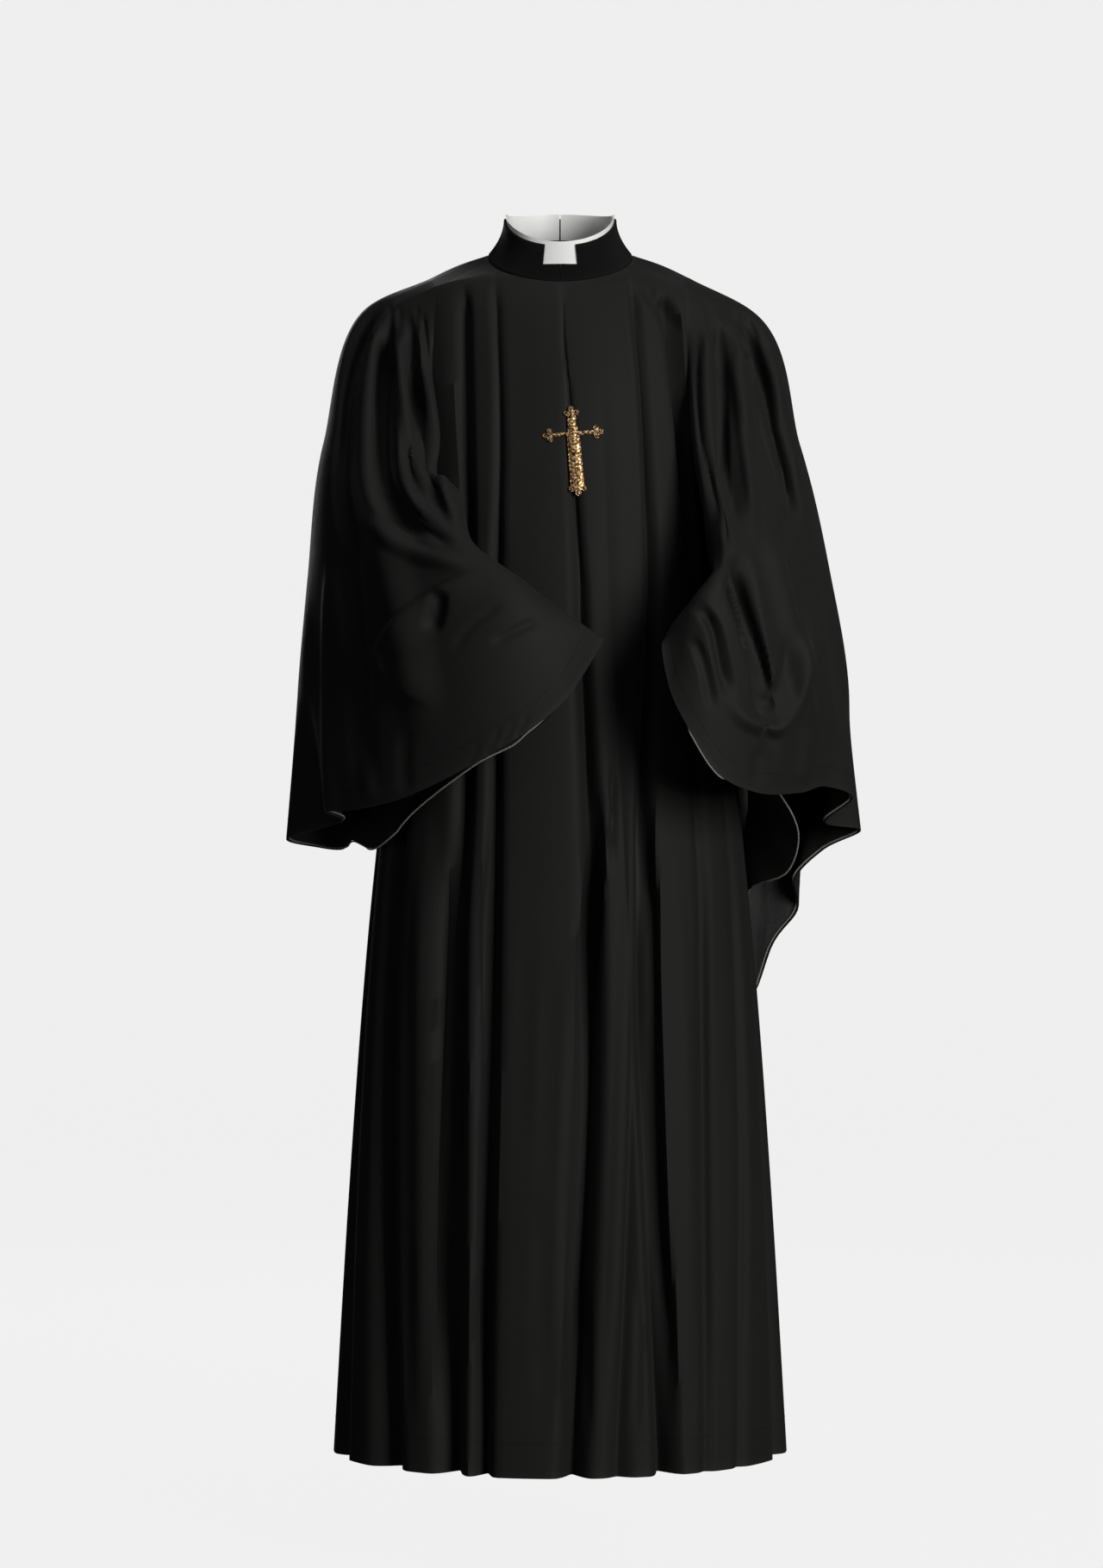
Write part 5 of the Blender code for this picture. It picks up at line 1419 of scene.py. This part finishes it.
CROWN, CROWN_HIGH, CROWN_RING, CROWN_RING_HIGH = 0.0064, 0.0020, 0.0060, 0.0008
BEADS, BEAD_HIGH = ((0.0, 0.0024), (-0.0085, 0.0018), (-0.0235, 0.0032)), 0.0030
GRAINS, GRAINS_FROM, GRAIN_STEP, GRAIN_SWAY, GRAIN_HIGH = 34, 0.0225, 0.0024, 0.0040, 0.0027
RIB_FROM, RIB_TO, RIB_LINES, RIB_THICK, RIB_HIGH = -0.026, -0.060, 80, 0.0013, 0.0018
RIB_SWAY, RIB_TURN = 0.0012, 90
print("cross", CROSS_ARMS[0][1] + CROSS_ARMS[3][1], "m tall")


# %% Domes, ropes and rings
DOME_TOP = 1.53  # radians, just short of the top, so that no face has no size
STRAND, LOBE, RING_POINTS = 3.2, 0.22, 28  # radii to a twist, share of a radius


class Relief:
    """Gathers domes, ropes and rings that stand on the plane x right, y up."""

    def __init__(self):
        self.points, self.faces = [], []

    def grid(self, points, wrap=True):
        points = np.asarray(points, float)
        rows, columns = points.shape[:2]
        start = len(self.points)
        self.points += list(points.reshape(-1, 3))
        for r in range(rows - 1):
            for c in range(columns if wrap else columns - 1):
                a, b = start + r * columns + c, start + r * columns + (c + 1) % columns
                self.faces.append((a, b, b + columns, a + columns))

    def dome(self, x, y, radius, high, sides=12, rings=4):
        turn = 2 * np.pi * np.arange(sides) / sides
        self.grid([[(x + radius * math.cos(a) * np.cos(t), y + radius * math.cos(a) * np.sin(t),
                     high * math.sin(a)) for t in turn] for a in np.linspace(0, DOME_TOP, rings)])

    def rope(self, line, radius, sides=8, closed=False):
        """A twisted purl along a line of points."""
        line = np.asarray(line, float)
        ahead = unit(np.roll(line, -1, 0) - np.roll(line, 1, 0)) if closed \
            else unit(np.gradient(line, axis=0))
        side = unit(np.cross(ahead, np.array([0.0, 0.0, 1.0])))
        over = np.cross(side, ahead)
        run = run_of(line)
        rows = []
        for i, spot in enumerate(line):
            row = []
            for k in range(sides):
                a = 2 * math.pi * k / sides
                lobe = radius * (1 + LOBE * math.cos(2 * a - run[i] / (radius * STRAND) * 2))
                row.append(spot + lobe * (math.cos(a) * side[i] + math.sin(a) * over[i]))
            rows.append(row)
        if closed:
            rows.append(rows[0])
        self.grid(rows)

    def ring(self, x, y, radius, high):
        turn = np.linspace(0, 2 * math.pi, RING_POINTS + 1)[:-1]
        line = [(x + radius * math.cos(t), y + radius * math.sin(t), high) for t in turn]
        self.rope(line, PURL, closed=True)


# %% One arm of the cross
def cross_arm(relief, turn, length, wide, end_wide, bud, spread, reach):
    c, s = math.cos(math.radians(turn)), math.sin(math.radians(turn))
    end = length - bud - reach

    def place(p):
        return (p[0] * c + p[1] * s, -p[0] * s + p[1] * c, p[2])

    def half_width(at):
        return 0.5 * (wide + (end_wide - wide) * max(at, 0) / end)

    rows = []
    for at in np.linspace(-ARM_OVERLAP, end + ARM_OVERLAP, ARM_LINES):
        half = half_width(at)
        knot = 1 + KNOT_HIGH * math.sin(at * KNOT_TURN)
        rows.append([place((half * math.cos(a), at, (ARM_BASE + ARM_HIGH * math.sin(a)) * knot))
                     for a in np.linspace(math.pi, 0, 13)])
    relief.grid(rows, wrap=False)
    for edge in (-1, 1):
        line = [place((edge * half_width(at), at, PURL_HIGH))
                for at in np.linspace(0, end, int(end / PURL_STEP))]
        relief.rope(line, PURL)
    for x, y in ((-spread, 0.0), (spread, 0.0), (0.0, reach)):
        spot = place((x, end + y, 0))
        for share, high in BUD_DOMES:
            relief.dome(spot[0], spot[1], bud * share, high)
        relief.ring(spot[0], spot[1], bud * BUD_RING, BUD_RING_HIGH)
    heart = place((0, end + 0.1 * bud, 0))
    relief.dome(heart[0], heart[1], HEART, HEART_HIGH)


# %% Make the cross
def on_the_front(x, up, rise):
    """A point of the relief on the robe's front, turned by the cross's lean."""
    c, s = math.cos(CROSS_LEAN), math.sin(CROSS_LEAN)
    x, up = x * c - up * s, x * s + up * c
    z = CROSS_Z + up
    a, front, _ = (float(v) for v in oval(z))
    u = math.asin((CROSS_X + x) / a)
    out = unit(np.array([math.sin(u) / a, -math.cos(u) / front, 0.0]))
    return np.array([a * math.sin(u), -front * math.cos(u), z]) + out * (GOLD_GAP + rise)


def chest_cross():
    relief = Relief()
    for arm in CROSS_ARMS:
        cross_arm(relief, *arm)
    relief.dome(0, 0, CROWN, CROWN_HIGH)
    relief.ring(0, 0, CROWN_RING, CROWN_RING_HIGH)
    for at, radius in BEADS:
        relief.dome(0.0, at, radius, BEAD_HIGH)
    for k in range(GRAINS):
        relief.dome(GRAIN_SWAY * math.sin(k * 2.4), GRAINS_FROM - GRAIN_STEP * k,
                    0.0014 + 0.0005 * math.cos(k * 1.7), GRAIN_HIGH, sides=8)
    relief.rope([(RIB_SWAY * math.sin(at * RIB_TURN), at, RIB_HIGH)
                 for at in np.linspace(RIB_FROM, RIB_TO, RIB_LINES)], RIB_THICK)
    points = [on_the_front(*point) for point in relief.points]
    return as_object("chest_cross", points, relief.faces, "cross_gold")


cross = chest_cross()
declare(cross, ["cross_applique"])
print("cross joined:", len(cross.data.polygons), "faces")

# %% [markdown]
# ## Cords along the sleeve hems
# Each hem is edged with a thin pale cord of two twisted plies. Geometry Nodes follow the
# hem's line: an oval profile is swept along it while the tilt turns steadily, which is
# what gives a twisted cord its diagonal ribs. Where no cord shows, its line is tucked in
# behind the edge.


# %% Geometry Nodes helpers
class Steps(Tree):
    """A Geometry Nodes tree with named inputs, made into a plain mesh at the end."""

    def __init__(self, name, sizes):
        super().__init__(bpy.data.node_groups.new(name, "GeometryNodeTree"))
        self.keys = {}
        face = self.tree.interface
        face.new_socket("Geometry", in_out="INPUT", socket_type="NodeSocketGeometry")
        for key in sizes:
            item = face.new_socket(key, in_out="INPUT", socket_type="NodeSocketFloat")
            self.keys[key] = item.identifier
        face.new_socket("Geometry", in_out="OUTPUT", socket_type="NodeSocketGeometry")
        self.source = self.tree.nodes.new("NodeGroupInput")

    def given(self, key):
        return Signal(self, self.source.outputs[key])

    def close(self, geometry, finish):
        real = self.add("GeometryNodeRealizeInstances", None, {0: geometry})
        smooth = self.add("GeometryNodeSetShadeSmooth", None, {0: real})
        done = self.add("GeometryNodeSetMaterial", None, {
            "Geometry": smooth, "Material": FINISHES[finish]})
        out = self.tree.nodes.new("NodeGroupOutput")
        self.tree.links.new(done.socket, out.inputs[0])

    def grow(self, name, lines, sizes):
        """Runs the tree on lines of points, open or closed, and returns one plain mesh."""
        points, edges = [], []
        for line, closed in lines:
            start, count = len(points), len(line)
            points += np.asarray(line, float).tolist()
            edges += [(start + i, start + (i + 1) % count) for i in range(count - (not closed))]
        guide = bpy.data.meshes.new(name + "_guide")
        guide.from_pydata(points, edges, [])
        obj = add_object(name, guide)
        steps = obj.modifiers.new("steps", "NODES")
        steps.node_group = self.tree
        for key, value in sizes.items():
            steps[self.keys[key]] = value
        bpy.context.view_layer.update()
        graph = bpy.context.evaluated_depsgraph_get()
        mesh = bpy.data.meshes.new_from_object(obj.evaluated_get(graph))
        obj.modifiers.remove(steps)
        obj.data = mesh
        bpy.data.meshes.remove(guide)
        print(f"{name}: {len(mesh.polygons)} faces")
        return obj


# %% The steps of a twisted cord
CORD_SIDES, CORD_STEP, CORD_FLAT = 10, 0.0011, 0.6


def cord_steps():
    steps = Steps("twisted_cord", ("Radius", "Turns per metre"))
    line = steps.add("GeometryNodeMeshToCurve", None, {0: steps.given("Geometry")})
    line = steps.add("GeometryNodeResampleCurve", {"mode": "LENGTH"}, {0: line, 3: CORD_STEP})
    length = steps.add("GeometryNodeSplineParameter", out=1)
    tilt = length * steps.given("Turns per metre") * (2 * math.pi)
    line = steps.add("GeometryNodeSetCurveTilt", None, {0: line, 2: tilt})
    profile = steps.add("GeometryNodeCurvePrimitiveCircle", None, {
        "Resolution": CORD_SIDES, "Radius": steps.given("Radius")})
    profile = steps.add("GeometryNodeTransform", None, {
        0: profile, "Scale": (1.0, CORD_FLAT, 1.0)})
    mesh = steps.add("GeometryNodeCurveToMesh", None, {0: line, 1: profile})
    steps.close(mesh, "cord_pale")
    return steps


CORD = cord_steps()
print("cord steps:", len(CORD.tree.nodes), "nodes")

# %% Make the cords
CORD_RADIUS, CORD_TURNS = 0.0013, 180.0
CORD_SHOWN = {"left": ((0.10, 0.20), (0.77, 0.89)), "right": ((0.60, 0.93),)}
CORD_FADE = 0.02

for side, (grid, inner) in SLEEVES.items():
    outer_hem, inner_hem = grid[-1], inner[-1]
    shown = sum(ease((SLEEVE_TURNS - a) / CORD_FADE) * ease((b - SLEEVE_TURNS) / CORD_FADE)
                for a, b in CORD_SHOWN[side])[:, None]
    down = outer_hem - grid[-4]
    along = np.roll(outer_hem, -1, axis=0) - np.roll(outer_hem, 1, axis=0)
    below = unit(np.cross(along, outer_hem - inner_hem))
    below *= np.sign(np.sum(below * down, axis=-1, keepdims=True))
    line = (outer_hem + inner_hem) / 2 + below * CORD_RADIUS
    tucked = inner_hem + unit(inner_hem - outer_hem) * CORD_RADIUS - below * 2 * CORD_RADIUS
    line = tucked + (line - tucked) * shown
    obj = CORD.grow(f"sleeve_{side}_cord", [(line, True)],
                    {"Radius": CORD_RADIUS, "Turns per metre": CORD_TURNS})
    declare(obj, [f"sleeve_cord_{side}"])

# %% [markdown]
# ## Sewing
# A row of stitches is one short thread repeated at an even pitch. Geometry Nodes place a
# small bead along each seam line, turned to follow it, and stretch it to a stitch's size.
# The lines are found on the cloth's own grids, a set distance in from each seam.


# %% The steps of a stitch row
def stitch_steps():
    steps = Steps("stitch_row", ("Pitch", "Length", "Thickness"))
    line = steps.add("GeometryNodeMeshToCurve", None, {0: steps.given("Geometry")})
    rows = steps.add("GeometryNodeCurveToPoints", {"mode": "LENGTH"}, {
        0: line, 2: steps.given("Pitch")})
    turned = Signal(steps, rows.socket.node.outputs["Rotation"])
    bead = steps.add("GeometryNodeMeshUVSphere", None, {"Segments": 6, "Rings": 4, "Radius": 0.5})
    size = steps.add("ShaderNodeCombineXYZ", None, {
        0: steps.given("Thickness"), 1: steps.given("Thickness"), 2: steps.given("Length")})
    beads = steps.add("GeometryNodeInstanceOnPoints", None, {
        "Points": rows, "Instance": bead, "Rotation": turned, "Scale": size})
    steps.close(beads, "sewing_thread")
    return steps


STITCH = stitch_steps()
print("stitch steps:", len(STITCH.tree.nodes), "nodes")

# %% Lines to sew along
YOKE_EDGE, COLLAR_EDGE, SLEEVE_HEM, ROBE_HEM = 0.0025, 0.0022, 0.024, 0.040
STITCH_LIFT = 0.0002


def inset_line(grid, distance, from_end, wrap=False):
    """A line on the cloth a set distance from its first or last row."""
    turned = grid[::-1] if from_end else grid
    down = run_along(turned, 0)
    columns = range(turned.shape[1])
    rows = [np.array([np.interp(distance, down[:, c], turned[:, c, k]) for k in range(3)])
            for c in columns]
    normals = grid_normals(grid, wrap)
    normals = normals[::-1] if from_end else normals
    if np.sum(normals * turned) < 0:
        normals = -normals
    index = [min(int(np.searchsorted(down[:, c], distance)), len(turned) - 1) for c in columns]
    return np.array(rows) + normals[index, columns] * STITCH_LIFT


SEAM_LINES = [
    (inset_line(YOKE, YOKE_EDGE, True), False),
    (inset_line(COLLAR, COLLAR_EDGE, False), False),
    (inset_line(COLLAR, COLLAR_EDGE, True), False),
]
SEAM_LINES += [(inset_line(grid, SLEEVE_HEM, True, wrap=True), True)
               for grid, _ in SLEEVES.values()]
SEAM_LINES += [(inset_line(found["outer"], ROBE_HEM, True), False)
               for found in BODY_PIECES.values()]
print(len(SEAM_LINES), "lines to sew along")

# %% Make the stitch rows
STITCH_SIZES = {"Pitch": 0.0034, "Length": 0.0027, "Thickness": 0.00038}
sewing = STITCH.grow("robe_stitching", SEAM_LINES, STITCH_SIZES)
declare(sewing, [])
